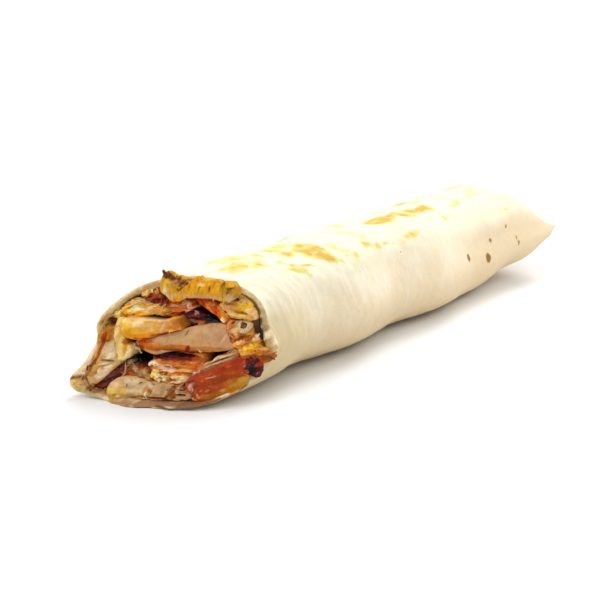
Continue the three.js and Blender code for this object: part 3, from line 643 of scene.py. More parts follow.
        0, "cca678", -8, 0.5, dict(fibre=(0.6, 1, 1.2), fibre_size=1.5, spice=0.08, streak=0.2), """
    -17.3,4.7 -15.5,6.9 -13.1,8.3 -9.7,8.7 -6.6,7.8 -4.6,7 -1.9,7.1 .6,7.1 2.8,6.8 6,6.5 8.9,6 11.3,4.7
    12.1,3.2 8.8,2.6 5.5,2.3 2.1,2 -1.4,2 -4.9,2.1 -8.4,2.1 -11.6,1.3 -14.3,.9 -16.3,2.1
    """, """
    -14.6,4,2.5,1.7,0,e2bd6b,.9,-.2 -11,3.8,2.1,1.1,0,dab15f,.85 -12.4,2,.57,.49,0,ffda99,.95,-.4
    -14.3,1.8,2.1,.98,0,c79a4d,.85 -14.8,6,2.1,.98,0,e6c39d,.85 -8.9,7.4,2.8,1.2,0,e0c99f,.9,-.3
    -7,4.6,3.2,1.7,0,e0c59f,.9 -3.6,6.1,2.5,1.1,0,e0c9a5,.85 -3.6,5,1.2,1.4,0,ce9242,.85
    -2.3,4.8,.53,.76,0,9f6921,.8,.3 -3.2,2.8,.46,1.5,0,f4e2c0,.95,-.6 .5,5.2,2.5,1.5,0,bfa07c,.85
    2.4,6.7,2.1,.83,0,b38a63,.75 5,5.2,.92,2,-20,8f5f30,.9,.4 6.1,7.1,1.1,.83,0,ab7753,.8
    -5.7,2.4,2.8,.42,8,a16125,.9,.3 .6,2.3,4.2,.42,-1,722f0b,.98,.7 5.8,3.5,1.2,1.3,0,803e11,.9,.4
    5.9,6.8,.78,.68,0,72441b,.9,.7 8.1,6.7,.85,.6,0,865420,.85,.5 8.6,5.7,1.1,.53,0,602f09,.95,.7
    6.8,7.8,1.6,.34,-18,e4bb92,.85,-.4 7.4,6.2,1.4,.3,-14,d4a47c,.8,-.3 10.3,5.1,1.4,.6,0,d06f51,.9,-.2
    8.8,4,1.8,.42,2,561b09,.98,.8 11.3,3.5,1.4,.49,8,d0a480,.8,-.2 -9,5.2,1.8,.45,8,cc986b,.5,.2
    -.1,3.6,2.1,.38,0,bb8e5b,.6 2.3,5,.57,1.5,0,a37f57,.6,.2 -11.4,6.1,1.8,.45,10,dcc190,.5,-.2"""),
    # chicken_left: the near-black dab that sinks in near its top is the painted shade of a hollow
    "chicken_left": (-0.5, "c7a370", 64, 0.45, dict(fibre=FLAT, spice=0.06, streak=0.2), """
    -25.5,24.3 -25.2,26.1 -24.8,27.7 -23.9,28.9 -22.3,29.5 -20.7,28.9 -20.4,26.8 -20.3,24.7 -19.3,21.3
    -17.9,17.9 -16.8,15.5 -15.2,14.1 -16.7,12 -18.2,10.2 -19.8,8.3 -21,6.5 -22.5,5.6 -24,6.6 -24.9,8.9
    -25,11.4 -24.3,13.9 -24.4,17.7 -25.1,21.6
    """, """
    -22.5,24.2,2.3,2.3,0,ad6928,.98 -22,21.4,1.9,1.9,0,af6f2c,.95 -20.4,19.2,1.6,1.1,0,bb874d,.9
    -20.8,22,.42,1.9,0,955f2a,.7,.2 -22.7,27.3,2.8,2.3,0,b78945,.95 -21.9,27.6,2.3,1.7,8,50200b,1,1.6
    -21.6,27.8,.71,.6,0,894926,.7,.5 -23.8,25.2,1.1,1.5,20,a76f2a,.9 -23,21.7,.85,2.3,-12,97450b,.98,.5
    -23,19.6,.85,2.3,-14,8b3b07,.98,.5 -23.2,17.1,.92,2.3,-20,a95917,.98,.4
    -23.5,14.8,.85,1.9,-25,934f09,.98,.4 -24.1,12.9,.78,1.5,-30,93550e,.98,.4
    -24.9,21.6,.71,2.3,-12,b77b32,.95 -24.3,19.1,.64,2.3,-12,bf8342,.9,-.2 -24.8,17,.71,2.3,-18,e7ba80,.95,-.2
    -25,14.5,.71,1.9,-25,e3b67c,.95,-.2 -21.7,15.8,.99,1.5,-18,cf9951,.85 -22.2,12.3,1.4,1.5,-30,cb934d,.9
    -19.8,17.7,2.1,3,0,dbc29d,.95 -18.6,16.1,1.6,1.1,0,ebd4b2,.85,-.2 -19,14.1,2.8,.34,0,7b6949,.95,.6
    -19.8,13,1.8,.42,12,ebd2ae,.95,-.4 -18.1,12,1.8,.42,12,ebd2ae,.9,-.3 -19.3,12.5,1.8,.26,12,977f59,.9,.4
    -17.8,13.3,1.1,.26,15,9f8961,.8,.4 -20.8,10,1.1,.45,-60,f3ddba,.95,-.4 -21.7,9.9,.92,.3,-60,9f7b49,.9,.4
    -19.2,10.1,3.2,1.9,45,e9ceae,.95 -23.1,9.4,1.4,1.1,0,b77f3d,.9 -22.5,7.2,1.1,1.1,0,cba674,.85
    -24.4,10.7,.71,1.1,0,935b1f,.9 -20,11.4,.85,.45,-40,b78f66,.7,.3 -21.8,13.7,1.1,.45,-45,d7ae74,.7,-.2"""),
    "red_cabbage_left": (1.2, "723729", 42, 0.5, dict(wet=0.1, spice=0, painted_shade="22080a"), """
    -14.8,13.5 -14.2,11.7 -15,9.1 -16.7,7 -18.3,5.1 -20.5,4.3 -22,5 -20.8,6.5 -19,8.6 -17.5,10.6 -16.2,12.5
    """, """
    -18.4,9,3.2,1.3,42,814c3e,.95 -16,12,.85,1.9,-20,45150e,.9 -20.1,6.5,2.1,.53,30,300502,.98,.3
    -16.6,7.9,2.8,.53,40,300802,.85,.3 -20.3,4.6,1.8,.91,5,792e1b,.9 -17.9,8.6,.57,.6,0,774740,.8,-.2
    -19.1,7.9,1.4,.26,42,743730,.7,-.2 -16.8,10.9,1.1,.26,48,6c372d,.6,-.2"""),
    # chicken_shreds: the near-black dabs that sink in at its top are painted shade in a hole
    "chicken_shreds": (1.6, "945e39", -44, 1.5, dict(spice=0.2, painted_shade="120604"), """
    -14.3,13.4 -12.4,14.1 -10.1,13.5 -7.9,11.9 -5.6,10.2 -3.9,8.6 -3.7,7.2 -5.8,7.2 -8.2,8.3 -11.3,9.2
    -13.5,8.9 -14.6,10.2 -14,11.7
    """, """
    -10.6,15.8,3.9,2.6,0,0b0403,1,2.6 -10.9,13.6,1.8,1.1,0,1b0906,.9,1.2 -11.8,9.6,1.8,1.3,0,894a23,.95,.3
    -13.6,13.4,1.2,.68,10,c7a892,.95,-.4 -10.2,11.4,1.8,.6,-38,c3a07a,.9,-.4
    -12.6,12.2,.71,.53,0,837325,.85,.2 -13.3,12.9,.35,.38,0,d7c892,.9,-.2 -7.2,10.2,1.8,1.4,0,b48b5f,.9,-.3
    -9.1,10.6,.71,.53,0,c5946c,.85,-.4 -8.1,12.5,1.8,.68,0,712d19,.85 -5.1,8.8,.99,1.4,0,b8915d,.85,-.2
    -7.3,7.6,1.2,.38,-40,5c3114,.9,.6 -13.3,7.7,2.1,.49,5,a06b55,.9 -10.4,12.1,1.4,.34,-38,ac8167,.85,-.3
    -6.7,9.1,1.4,.26,-45,876237,.8,.4 -6.5,10.7,1.4,.26,-45,cfb282,.8,-.3
    -7.5,9.5,1.1,.23,-45,cbaa7a,.7,-.3"""),
}
# painted shade in the cut edge: the brown dabs along the bottom, where the tongue lies on the floor, are
# painted contact shadow; the dark browns on the right are painted shade on the inner turn, and the dark dabs
# at the upper left the painted shade of a hollow
RIM_COLOUR = "e2cfa0"
RIM_DABS = """
    -25.4,30.2,1.1,2.3,50,f0dcb0,.95 -23.8,33.1,1.1,2.3,48,ecd8aa,.95 -22,35.5,2.5,.98,40,ecd6a8,.95
    -19.9,37.8,2.5,.98,35,ecd2a4,.95 -17.6,39.7,2.5,.98,30,dec294,.95 -14.9,41.3,2.5,.98,25,d8bc8c,.95
    -12.1,42.5,2.5,.91,20,d0b080,.95 -25.5,28.1,1.1,2.3,50,d0aa6c,.9 -24.1,29.4,1.1,1.9,48,d0a864,.9
    -22.6,31.6,2.1,.83,45,d4b078,.9 -21.2,34,2.1,.91,42,ccb07c,.95 -19.6,35.6,2.1,.83,38,b8986a,.95
    -17.8,36.9,2.1,.83,32,b89660,.95 -15.8,38.4,2.1,.91,28,bc9458,.95 -13.5,40.1,2.1,.91,22,bc8e54,.95
    -11,41.2,1.8,.91,15,c09458,.95 -22.4,29.7,1.8,.6,45,be9250,.9 -21.3,31.9,1.8,.68,42,8c5c2c,.95
    -19.7,33.7,1.8,.68,40,784c22,.95 -18.1,35.4,1.8,.68,35,6a3c10,.98 -16.4,36.8,1.8,.6,30,74460f,.9
    -14.5,38.7,1.4,.45,25,a8743c,.8 -26.5,25.6,.99,2.3,-10,ccaa70,.95 -27.3,24.8,.57,2.6,-5,ecdcb8,.95
    -26.2,27,.71,1.5,-30,a8803c,.9 -25.1,29.2,1.4,.6,50,b08a48,.85 -26.5,21.3,.64,3,0,eed4a0,.95
    -25.5,21.4,.57,3,0,c89c50,.95 -26.2,18.5,.64,2.6,-8,f2dcb8,.9 -24.8,17.9,.64,3,-12,d8a868,.95
    -23.7,19.4,.71,3,-10,a45c1c,.98 -26.2,15.7,.85,2.6,-16,f6dcb4,.95 -24.5,14.8,.78,2.6,-22,b4742a,.98
    -26.3,12.2,1.4,.91,45,f4d6aa,.9 -25,11.6,1.4,.76,40,8a4c10,.98 -27.6,9.7,1.4,.98,35,f2cca4,.9
    -26.5,9.4,.71,1.1,0,e0ac70,.85 -29.7,7.2,1.1,.68,0,806810,.95 -27.7,7.6,1.8,.76,0,84500f,.95
    -28.6,5.9,1.4,1.1,0,f0bc70,.95 -25.9,6.3,1.8,1.5,0,cc9c54,.95 -27,5.2,1.1,.76,0,f0c882,.9
    -27.8,5.4,.71,.45,0,a88a30,.8 -26.6,3.8,2.1,1.5,-30,c8ac5e,.95 -28.1,4,1.1,1.1,0,e4c884,.8
    -24.2,5.4,1.1,.38,0,c89c5c,.8 -23.1,4.1,1.1,.91,0,844812,.95 -21.9,4.8,.92,.76,0,94541c,.9
    -22.7,2.7,2.1,.91,-10,ac8848,.9 -20,3.3,2.1,.98,0,a87830,.9 -21,4.2,1.1,.6,0,a8682c,.8
    -23.2,2,2.8,.6,-15,ccb084,.8 -19.4,1.4,2.8,.53,0,ccb488,.8 -16.8,.9,1.8,.6,0,ecd4a8,.9
    -16.3,2.8,2.8,.98,0,b88a44,.95 -13.2,1.7,3.5,.98,0,bc9450,.95 -12.4,.4,2.5,.6,0,ac8c4c,.95
    -8,.7,3.2,.76,0,a87c54,.95 -7.8,2.5,2.8,.6,0,b07c40,.9 -2,1.7,5.7,.38,0,c89c6e,.95
    -1,.9,5,.68,0,a27a54,.98 7.4,1.8,5,.68,3,a07858,.98 -.8,0,5.7,.38,0,5c3c22,.95
    7.7,.7,4.2,.38,-3,5a361e,.95 -1.2,-1,5.7,.6,0,886648,.98 8.3,-.2,5,.6,0,86644a,.98
    2.1,1.9,5.7,.38,0,6a3418,.9 13.2,1.7,3.5,1.5,5,80583a,.95 17.8,1.6,3.2,1.5,5,8c6440,.95
    21.3,1.9,3.2,1.5,8,94704e,.95 23.3,2.9,3.5,1.1,15,9a7650,.95 25,3.9,2.1,.91,25,a07c54,.9
    17.9,40.9,1.4,.76,-40,dcc08c,.9 20.4,38.6,1.8,.6,-40,e0c690,.9 19.7,38,1.4,.53,-35,987434,.95
    22.2,36.3,1.8,.68,-52,80602c,.95 24.1,33,2.1,.76,-66,78561f,.98 25.5,29.4,2.1,.98,-75,5c3810,.98
    26.6,25.5,2.1,1.1,-80,3a1606,.98 28,21.5,1.4,.91,-80,7a5022,.98 21.5,38.3,2.1,.38,-46,d4ba8c,.9
    23.9,35.6,1.8,.38,-58,dcc294,.9 25.9,31.5,2.5,.45,-70,c4a878,.95 27.3,27.1,2.1,.6,-76,a88a5c,.95
    28.6,24.8,1.4,1.4,-30,fbe6bc,.98 30.1,21.1,.92,3,0,fff0ca,.98 28.9,21.6,.71,1.7,0,c8a266,.95
    30,19.4,.85,1.1,0,d0ac70,.9 29.2,19.5,.92,.76,0,bc8e52,.9 31,14.6,.71,2.3,-20,e4caa2,.9
    30.4,13.4,.57,2.6,-32,dcbf90,.9 29.5,10.4,1.1,.6,40,c8a884,.9 28.2,9.7,1.4,.6,20,b89a78,.9
    26.7,10.4,1.1,.83,0,a08458,.9 26.4,8.6,1.4,.98,45,d0b488,.95 27.4,8.1,1.4,.45,40,e0ceac,.9
    26.8,7.6,.28,.98,0,a08a64,.6 26.1,6.7,1.1,.53,35,b0824c,.9 25.3,5.1,1.4,.53,25,b88e5c,.95
    21.6,3.8,2.1,.53,5,946030,.9 19.1,3,2.8,.45,10,8c5c38,.9 23.6,3.7,2.1,.76,15,94683c,.9
    -23.8,27.3,2.5,1.6,10,a87a40,.9 -22.9,27.4,2,1.3,8,5c2414,1 -22.5,27.6,.78,.53,0,80462c,.8"""
# Torn fibres: each one's points, then half its width, how far behind the cut it lies, and its colour.
STRANDS = """
    -12.4,20.7/-11.2,19.4/-9.9,18.4/-8.5,17.3/.43,-.4,d8b08c -6.8,32.9/-6.2,33.8/-5.3,34.7/.23,-.2,f6c6a4
    -12.9,18.9/-11.9,17.6/-12.6,16/.22,-1.2,f6e0c4 0,35.1/1.7,35.4/2.6,34.5/2.4,33.1/1.3,32.7/.18,.6,f0c8a8
    3.3,32.4/4.4,32/5.5,31.2/.2,2.6,e0b498 -13.9,14.8/-14,12.9/-13.1,11.1/-13.5,9.5/-14.5,8.2/.27,.8,c8a084
    -13.8,14.1/-12.3,13.9/-10.5,12.6/-9.2,11.8/.16,1,c09a80 10.4,20.2/10.9,19.4/11.6,19.3/.23,-.4,f0c4a4
    -4.9,13.7/-4.2,14.2/.31,-.2,fdeadc -9.3,10.4/-8.4,11/-7.3,11.6/.2,1.2,cc9c70
    -8.1,8.5/-7,9.5/-5.7,10.4/.14,1.3,c8a878 -7.2,7.3/-6,8.3/-4.5,8.9/.16,1.5,b8905c
    -3,4.3/-2.8,3.1/-2.2,1.9/.2,-.9,f0dcbc 11.4,8.1/12.5,7.5/13.1,6.5/12.7,5.6/.25,-2,e8a88e
    19.1,18.9/20.2,19.7/21.7,20.1/.18,.4,d4a678 11.6,9.9/12.3,11/12.7,12.2/12.6,13.8/.22,-.2,f6c4a2
    11.4,35.6/13.3,33.9/15.2,32.5/17,31/.2,.2,f8a858 -4.4,35.7/-2.8,36.3/-.4,36.3/.8,36.9/.22,-1.2,b85c30
    -19.5,21/-18.7,20.5/.2,-1.1,f8dcae -7,36/-5.6,34.8/-4,34.2/.18,0,a04a28
    13.3,35.5/14.4,36.2/16.3,36.4/18,37/.18,-.6,e8c090 17.4,30.4/18.5,30.8/19.9,30.6/20.9,31.2/.16,-.3,74180a
    17.6,26.8/19,25.6/20.2,23.7/.18,-.4,e8a878 23.9,22.5/24.8,22.9/25.9,22.1/.18,-.7,dca468
    26.6,21.8/27.6,20.7/28.6,20.1/.18,-1.2,e8b25c 22.7,21.5/23.7,20.4/25,19.8/.2,-1.4,f2ba58
    9,8.1/7.8,7.4/6.4,7.5/.14,-.6,e0b890 6.9,5.9/8.4,5.4/10.3,5.9/.14,-.6,cfa07c
    7.6,4.5/9.3,4.9/11.1,4.5/.16,-.6,d8a888 4.7,6.2/6.1,5.9/7.3,6.5/.14,-.5,b07c50
    -3,8/-1.7,7.2/.4,7.3/.18,.2,a8703c -8.9,2.3/-6.7,2/-4,2.4/.14,-.4,d4a468
    -.3,14/1.5,13.6/3.2,12.9/.2,-.2,f0c8a4 2.5,15.6/5.5,16/8.5,16.4/.16,1.2,8e3418
    -5.3,17.3/-3.6,17.7/-1.5,17.5/.14,1.6,8a2c20 21.6,21.7/20.1,22.8/18.7,24.7/.16,-.3,c06a3c
    -14.4,35.9/-12.9,35.4/-10.9,34.6/-8.9,34/.14,-.4,f4cca0 -18.9,33/-17.8,34.1/-16.6,35/.14,-.4,e8b488
    24.7,22.4/25.5,21.8/26.5,21.8/.18,-1.5,ffc84c 28.8,16.9/29.8,16.2/30.6,16.6/.16,-1.4,b05c20
    25.9,11.7/26.9,10.9/27.5,10/.14,-1.4,d8b080
    21.3,30.1/22.5,29.6/23.1,28.3/22.9,27.1/22,26.7/20.9,27.2/20.4,28.5/20.5,29.7/21.1,30.1/.76,-.1,f0d2a6
    -23.8,25/-24.3,27.2/-23.6,28.9/-21.9,29.6/-20,29/.47,-1.3,c09a58
    -20,12.5/-18.4,12.1/-17.1,12.5/.13,-1,f2e4d0 -21.5,10.7/-20.4,9.9/-19.7,8.8/.13,-1,f4e6d2
    -20.3,13.7/-18.5,13.4/-16.8,13.7/.13,-1,ecdcc4 -.7,16.5/2,16.9/5.5,16.8/.16,3,5a1410
    -3.4,15.6/-.6,15.4/2.1,15.9/.16,2.2,6e1a12"""
# Crumbs: x, z, half width, how far behind the cut, and colour.
CRUMBS = """
    -7.2,45.6,.72,-3.2,5e3018 -5.9,45.8,.58,-3.3,7a4424 -4.3,44.9,.65,-3.3,6a3a1e -2.4,44.1,.72,-3.2,84502e
    -.4,43.7,.61,-3.3,946038 1.2,43,.54,-3.3,7a4822 .4,42.1,.5,-3.6,b0703c -.8,41.4,.43,-3.6,c88c50
    -2.3,43.5,.47,-3.7,b47c58 1.9,44.4,.43,-3.3,b8803c 4.4,44.2,.4,-3.3,c49248 -22.8,4.4,.47,-1,86480f
    -22,3.7,.43,-1,703808 -21.5,5.2,.43,-1,9c5a1e -22.1,5.7,.36,-1,a86c2c -20.1,4.3,.47,-.8,8e4c18
    -23.7,5,.36,-1.2,b07c34 -20.3,3.5,.4,-.8,a06a24 -18.9,3.9,.43,-.6,8a4420 -17.5,4.1,.4,-.6,a4632c
    -29.6,7.7,.4,-.8,7a6010 -27.5,7.6,.47,-.9,8a5814 -26,7.3,.4,-1,7a4c14 -25.3,8.3,.43,-.9,9a5c1c
    -25.6,11.1,.43,-.8,703408 -24.7,12,.43,-.8,84460c -23.6,13.1,.4,-.8,905410 -26,9.2,.47,-1,f0c8a0
    -24.8,9,.43,-1.1,b07828 -26.4,5.5,.4,-1.1,a48426 -12.9,38.3,.72,-.6,efc06a -11.3,39.1,.5,-.6,f0cc8c
    -9.4,39.2,.54,-.5,d89868 -13.7,36.6,.43,0,a8682c -10.4,37.9,.47,0,b8502a 25.8,21.4,.54,-1.9,ffc846
    26.8,20.7,.47,-1.8,e8a428 25.2,20.7,.43,-1.8,f6c058 24.5,19.7,.43,-1.8,eab050 27.7,19.6,.43,-1.8,d8882c
    29.3,18.7,.47,-1.8,c46c20 30.6,17.7,.47,-1.7,a85c1c -.2,11.2,.36,.2,8a5410 -2.2,11.6,.47,-.2,f8d88e
    -.6,10.2,.5,-.3,fadc9e -2.7,9.8,.47,-.1,f2c86c 1.6,8.9,.5,-.2,fcebac 2.8,9.7,.43,0,d89c40
    -.1,8.4,.47,-.1,f8dca4 -12.9,12.4,.36,1,8c7c2c -6.3,7.1,.36,-.2,7a4a1c -1.7,4.8,.4,-.6,a06a24
    4.1,3.2,.43,-.4,7a3c12 9.7,6.5,.4,-.6,6a3008 10.1,8.8,.36,0,8a2810 15.4,4.8,.4,-2,e89468
    14.2,3.8,.4,-2,d88050 16.1,6.5,.36,-2,cc6a3c 18.4,6.7,.36,-2,d88a58 18.6,29.6,.4,0,8a2c10
    18,27.8,.4,-.2,d89860 20.4,25.6,.43,-.4,f0c890 24.7,24.5,.4,-.2,b86a34 26,24.6,.43,-.2,f2dab0
    23.5,23.6,.4,-.2,c8743c 22.5,22.2,.43,-.4,f0b070 -19.7,31,.43,-.2,d89c40 -17.2,31.8,.36,-.2,c07828
    -21.4,32.1,.43,-.2,bca458 -18.7,31.9,.4,-.2,c88c3c 16,40.9,.43,-3.6,8a5c14 14.4,40,.36,-3.6,b8822c
    18.8,39.3,.43,-3.6,a8803c -23,23.2,.4,-.8,a4622c -22.2,25,.43,-.8,b07040 -24.6,24.1,.4,-.8,c08c3c"""
# Toasted marks: distance along and distance round at one end, the same at the other, half width, strength.
TOAST = numbers("""
    25.3,84.2,33.4,79.6,3.3,.55 15.8,74.9,25.6,71.6,3.2,.62 49.5,80.8,47.1,71.9,2.4,.65
    51.3,81.1,62.9,84.2,2.7,.55 37.6,67.5,41.1,61.7,1.1,.6 41.1,61.7,46.4,59.8,1.1,.6
    30.2,63.5,34.1,62.9,1.8,.35 35.8,60.8,38.3,57.4,1.8,.65 60.1,71.9,55.5,68.2,3.4,.95
    57.2,69.4,58,63.8,2.3,1 58,63.8,58.7,59.2,1.7,1 66.7,67.2,70.9,65.7,1.3,.35 68.1,63.2,70.6,58.3,2.8,.45
    104.3,88.5,99,79.6,1.9,.5 87.1,73.7,89.6,66,1.9,.45 111,84.8,113.4,82.4,1.3,.3 85,60.5,91,57.1,1.5,.55
    96.2,58.3,101.5,58,1,.4 106.1,57.4,112.7,56.8,1.9,.3 115.9,58.3,121.9,58.6,1.5,.5
    113.8,74,123.3,75.3,2.6,1 124,75.6,132.4,75.6,2.1,.95 132.4,75.6,135.6,69.4,1.9,.95
    140.5,72.2,152.1,70.6,2.1,.95 153.1,83.6,157.7,79.9,2.3,.75 137,88.2,135.9,84.2,1.5,.4
    145.8,64.2,153.1,59.8,1.4,.35 169.6,66.3,180.5,70.3,1.8,.45 188.6,70.3,199.1,72.5,2.3,.4
    198.4,54,204.8,53.7,1.6,.3 40,98,52,101,2.6,.7 74,95,88,97.5,2.2,.9 60,108,66,111,2,.4
    118,99,131,96,2.4,.8 150,103,161,100,2,.6 176,92,187,95,2.2,.7 96,106,103,108,1.6,.5
    136,110,141,113,1.5,.4 196,88,203,84,1.8,.5""".split())
# Small burnt spots: distance along, distance round, half length, half height, strength.
SPOTS = numbers("""
    157.3,38.9,1.9,2.2,.95 175.3,35.5,2.2,2.5,1 181.2,42.9,1.5,1.5,.75 174.6,43.5,.8,.9,.35
    195.6,46.6,1.2,1.1,.8 204.4,39.8,1.3,2,.6 206,36.7,1.4,2.2,.65 86.4,39.2,1.4,1,.4 99.4,26.8,.8,1,.45
    13,37.9,.7,1,.35 240.6,39.5,2,1.8,.3 101.5,26.2,.5,.6,.3 70,112,1,1.4,.7 128,118,.9,1.2,.6
    166,110,1.1,1.6,.8 30,115,.8,.9,.5 192,105,1,1,.6 102,121,.7,.9,.4""".split())


# ------------------------------------------------------------------ lavash
AROUND = 290  # points round a section
RIM_STEPS = 7
OUTER_STEPS = [0.35, 0.8, 1.4, 2.1, *np.arange(3, 12, 0.8), *np.arange(12.4, RUN - 5, 0.95)]
OUTER_STEPS += [RUN - 4, RUN - 3, RUN - 2, RUN - 1.2, RUN - 0.5, RUN]
INNER_STEPS = [0.5, 1.2, 2.2, 3.5, 5, 7, 10, 14, *range(20, 220, 10), CAVITY_END]
FREE_EDGE = 129.0  # where the sheet's own edge lies on the left wall, as a distance round the outline
# Smooth changes round the rim: how much, where on the outline, and how far to each side they reach.
SETBACKS = [(2.0, 70, 26), (-0.9, 137, 8), (0.4, 148, 9)]
THICKENINGS = [(0.9, 38, 7), (-0.4, 165, 18), (-0.5, 14, 16), (-0.3, 53, 9)]
FLARES = [(1.3, 106, 22), (0.4, 160, 18), (-0.5, 24, 12)]


def toast_mask(arc, along):
    """How toasted the sheet is, from 0 to about 1."""
    mask = np.zeros_like(arc)
    p = samples(arc, along)
    along = along + 1.5 * fractal(p, 4.5, 81, 2)
    arc = arc + 1.2 * fractal(p, 4.5, 82, 2)
    for a0, r0, a1, r1, width, strength in TOAST:
        way = np.array([a1 - a0, r1 - r0])
        t = np.clip(((along - a0) * way[0] + (arc - r0) * way[1]) / (way @ way), 0, 1)
        away = np.hypot(along - a0 - t * way[0], arc - r0 - t * way[1]) / width
        mask = np.maximum(mask, strength * (1 - smooth(0.0, 2.9, away)))
    return mask * (0.85 + 0.4 * fractal(p, 3.0, 83, 2))


def spot_mask(arc, along):
    mask = np.zeros_like(arc)
    for a0, r0, length, height, strength in SPOTS:
        away = np.hypot((along - a0) / length, (arc - r0) / height)
        mask = np.maximum(mask, strength * (1 - smooth(0.3, 1.6, away)))
    return mask


def around(arc, centre, width):
    """1 at a place on the outline, falling to 0 over width mm on each side of it."""
    away = np.abs(np.mod(arc - centre + GIRTH / 2, GIRTH) - GIRTH / 2)
    return 1 - smooth(0.0, 1.0, away / width)


def changed(start, arc, changes):
    for amount, centre, width in changes:
        start = start + amount * around(arc, centre, width)
    return start


def rim_setback(arc):
    """How far behind the cut plane the sheet's cut edge is, in mm, less the tongue that lies on the floor."""
    p = samples(arc)
    ragged = 0.5 * fractal(p, 5.0, 3) + 0.5 * noise(p, 17.0, 5)
    low = np.mod(arc + 60, GIRTH) - 60  # 0 at the lower right, where the outline starts
    middle = 4.6 * (1 - smooth(4, 18, low))
    right_end = 2.8 * (1 - smooth(15, 22, low)) * smooth(4, 18, low)
    return changed(ragged, arc, SETBACKS) - smooth(-26, -12, low) * (middle + right_end)


def wall_depth(arc):
    """Thickness of the sheet's cut edge: thin along the bottom, doubled at the left and where it folds."""
    doubled = band(1.3, arc, 84, 92, 126, 131)
    folded = band(3.0, arc, 126, 132, 139, 146) + band(1.2, arc, 139, 146, 147, 154)
    return changed(WALL + doubled + folded, arc, THICKENINGS)


def swelling(arc, along):
    """How far the outer face stands out from the smooth roll, in mm."""
    p = samples(arc, along)
    soft = 0.5 * fractal(p, 22.0, 11, 2) - 0.55 * np.abs(fractal(p, [17.0, 44.0, 1.0], 13, 2))
    near = np.exp(-along / 60)
    wrinkles = (0.08 + 0.2 * near) * (1 - 2 * np.abs(fractal(p, [16.0, 2.6, 1.0], 21, 2)))
    dimples = 0.11 * fractal(p, 3.6, 31, 2)
    folds = 0.9 * smooth(188, 236, along) * noise(p, [6.5, 60.0, 1.0], 41)
    crease = np.abs(arc - 50 - 0.085 * (along - 200) + 1.6 * noise(p, 15.0, 43))
    folds = folds + 0.8 * smooth(150, 200, along) * (1 - smooth(0, 5, crease))
    blister = 0.22 * toast_mask(arc, along) * (0.6 + noise(p, 2.6, 51))
    edge = FREE_EDGE - 2.5 + 1.6 * noise(samples(along), 26.0, 61)
    flap = band(band(1.1, arc, edge - 30, edge - 2, edge, edge + 0.9), along, 14, 40, 225, 242)
    on_floor = band(1.0, arc, 150, 156, 172, 175)
    dent = -1.3 * around(arc, 24, 14) * (1 - smooth(6, 26, along))  # at the lower right near the cut
    dent = dent + band(-3.0 * around(arc, 22, 18), along, 172, 206, 203, 219)  # before the pinched end
    dent = dent + 2.8 * around(arc, 24, 20) * smooth(202, 226, along) * (1 - 0.9 * smooth(236, RUN, along))
    return (soft + wrinkles + dimples + folds + blister) * (1 - 0.9 * on_floor) + flap + dent


def lavash_sheet(look):
    """The sheet: its outer face from the far end to the cut, its rounded cut edge, and its lining."""
    arc = np.linspace(0, GIRTH, AROUND, endpoint=False)
    base, inward = outline(arc)
    front = rim_setback(arc)
    wall = wall_depth(arc)
    rows, marks, tints, place = [], [], [], []

    def row(along, depth, rim, inside):
        inside = inside + 0 * arc
        section = base + inward * depth[:, None]
        section[:, 1] = np.maximum(section[:, 1], 0.0)
        tint, relief = painted(section, RIM_COLOUR, RIM_DABS, 77)
        rows.append(bend(*section.T, along + 0.8 * relief * rim))
        shown = 1 - inside
        marks.append(samples(toast_mask(arc, along) * shown, spot_mask(arc, along) * shown, inside))
        tints.append(np.concatenate([tint, (rim + 0 * arc)[:, None]], axis=1))
        # masks for the painted shade on the lower sides and the painted light on the top
        low_side = 1 - smooth(5, 32, section[:, 1])
        high_side = smooth(27, 38, section[:, 1] + 2.0 * fractal(samples(arc, along), 14.0, 71, 2))
        place.append(samples(high_side, np.clip(along / RUN, 0, 1), low_side))

    flare = changed(0.0, arc, FLARES)
    shelf = 2.6 + 5.0 * around(arc, GIRTH - 6, 22)  # how deep the painted edge reaches into the roll
    for step in OUTER_STEPS[::-1]:
        along = step + (front + wall / 2) * max(0.0, 1 - step / 30)
        out = swelling(arc, along) * smooth(0.0, 5.0, np.full_like(arc, step))
        row(along, -out - flare * np.exp(-step / 2.5), 0.9 * math.exp(-step / 0.4), 0.0)
    for k in range(RIM_STEPS + 1):
        turn = math.pi * k / RIM_STEPS
        depth = wall * (0.5 - 0.5 * math.cos(turn)) - flare
        row(front + np.minimum(wall, 2.0) / 2 * (1 - math.sin(turn)), depth, 1.0, 0.0)
    for step in INNER_STEPS:
        along = step + (front + wall / 2) * max(0.0, 1 - step / 14)
        blend = math.exp(-step / 2.0)
        dented = np.minimum(swelling(arc, along), 0.0)
        depth = (wall - flare) * blend + WALL * (1 - blend) - dented * (1 - blend)
        row(along, depth, np.clip(1.6 - step / shelf, 0, 1), np.clip(step / shelf - 0.3, 0, 1))
    faces = grid_faces(len(rows), AROUND, wrap=True)
    faces.append(list(range(AROUND - 1, -1, -1)))
    faces.append([(len(rows) - 1) * AROUND + k for k in range(AROUND)])
    make_object(
        "lavash_sheet", np.concatenate(rows), [face[::-1] for face in faces], "lavash", look, "lavash",
        marks=np.concatenate(marks).T, tint=np.concatenate(tints).T, place=np.concatenate(place).T,
    )


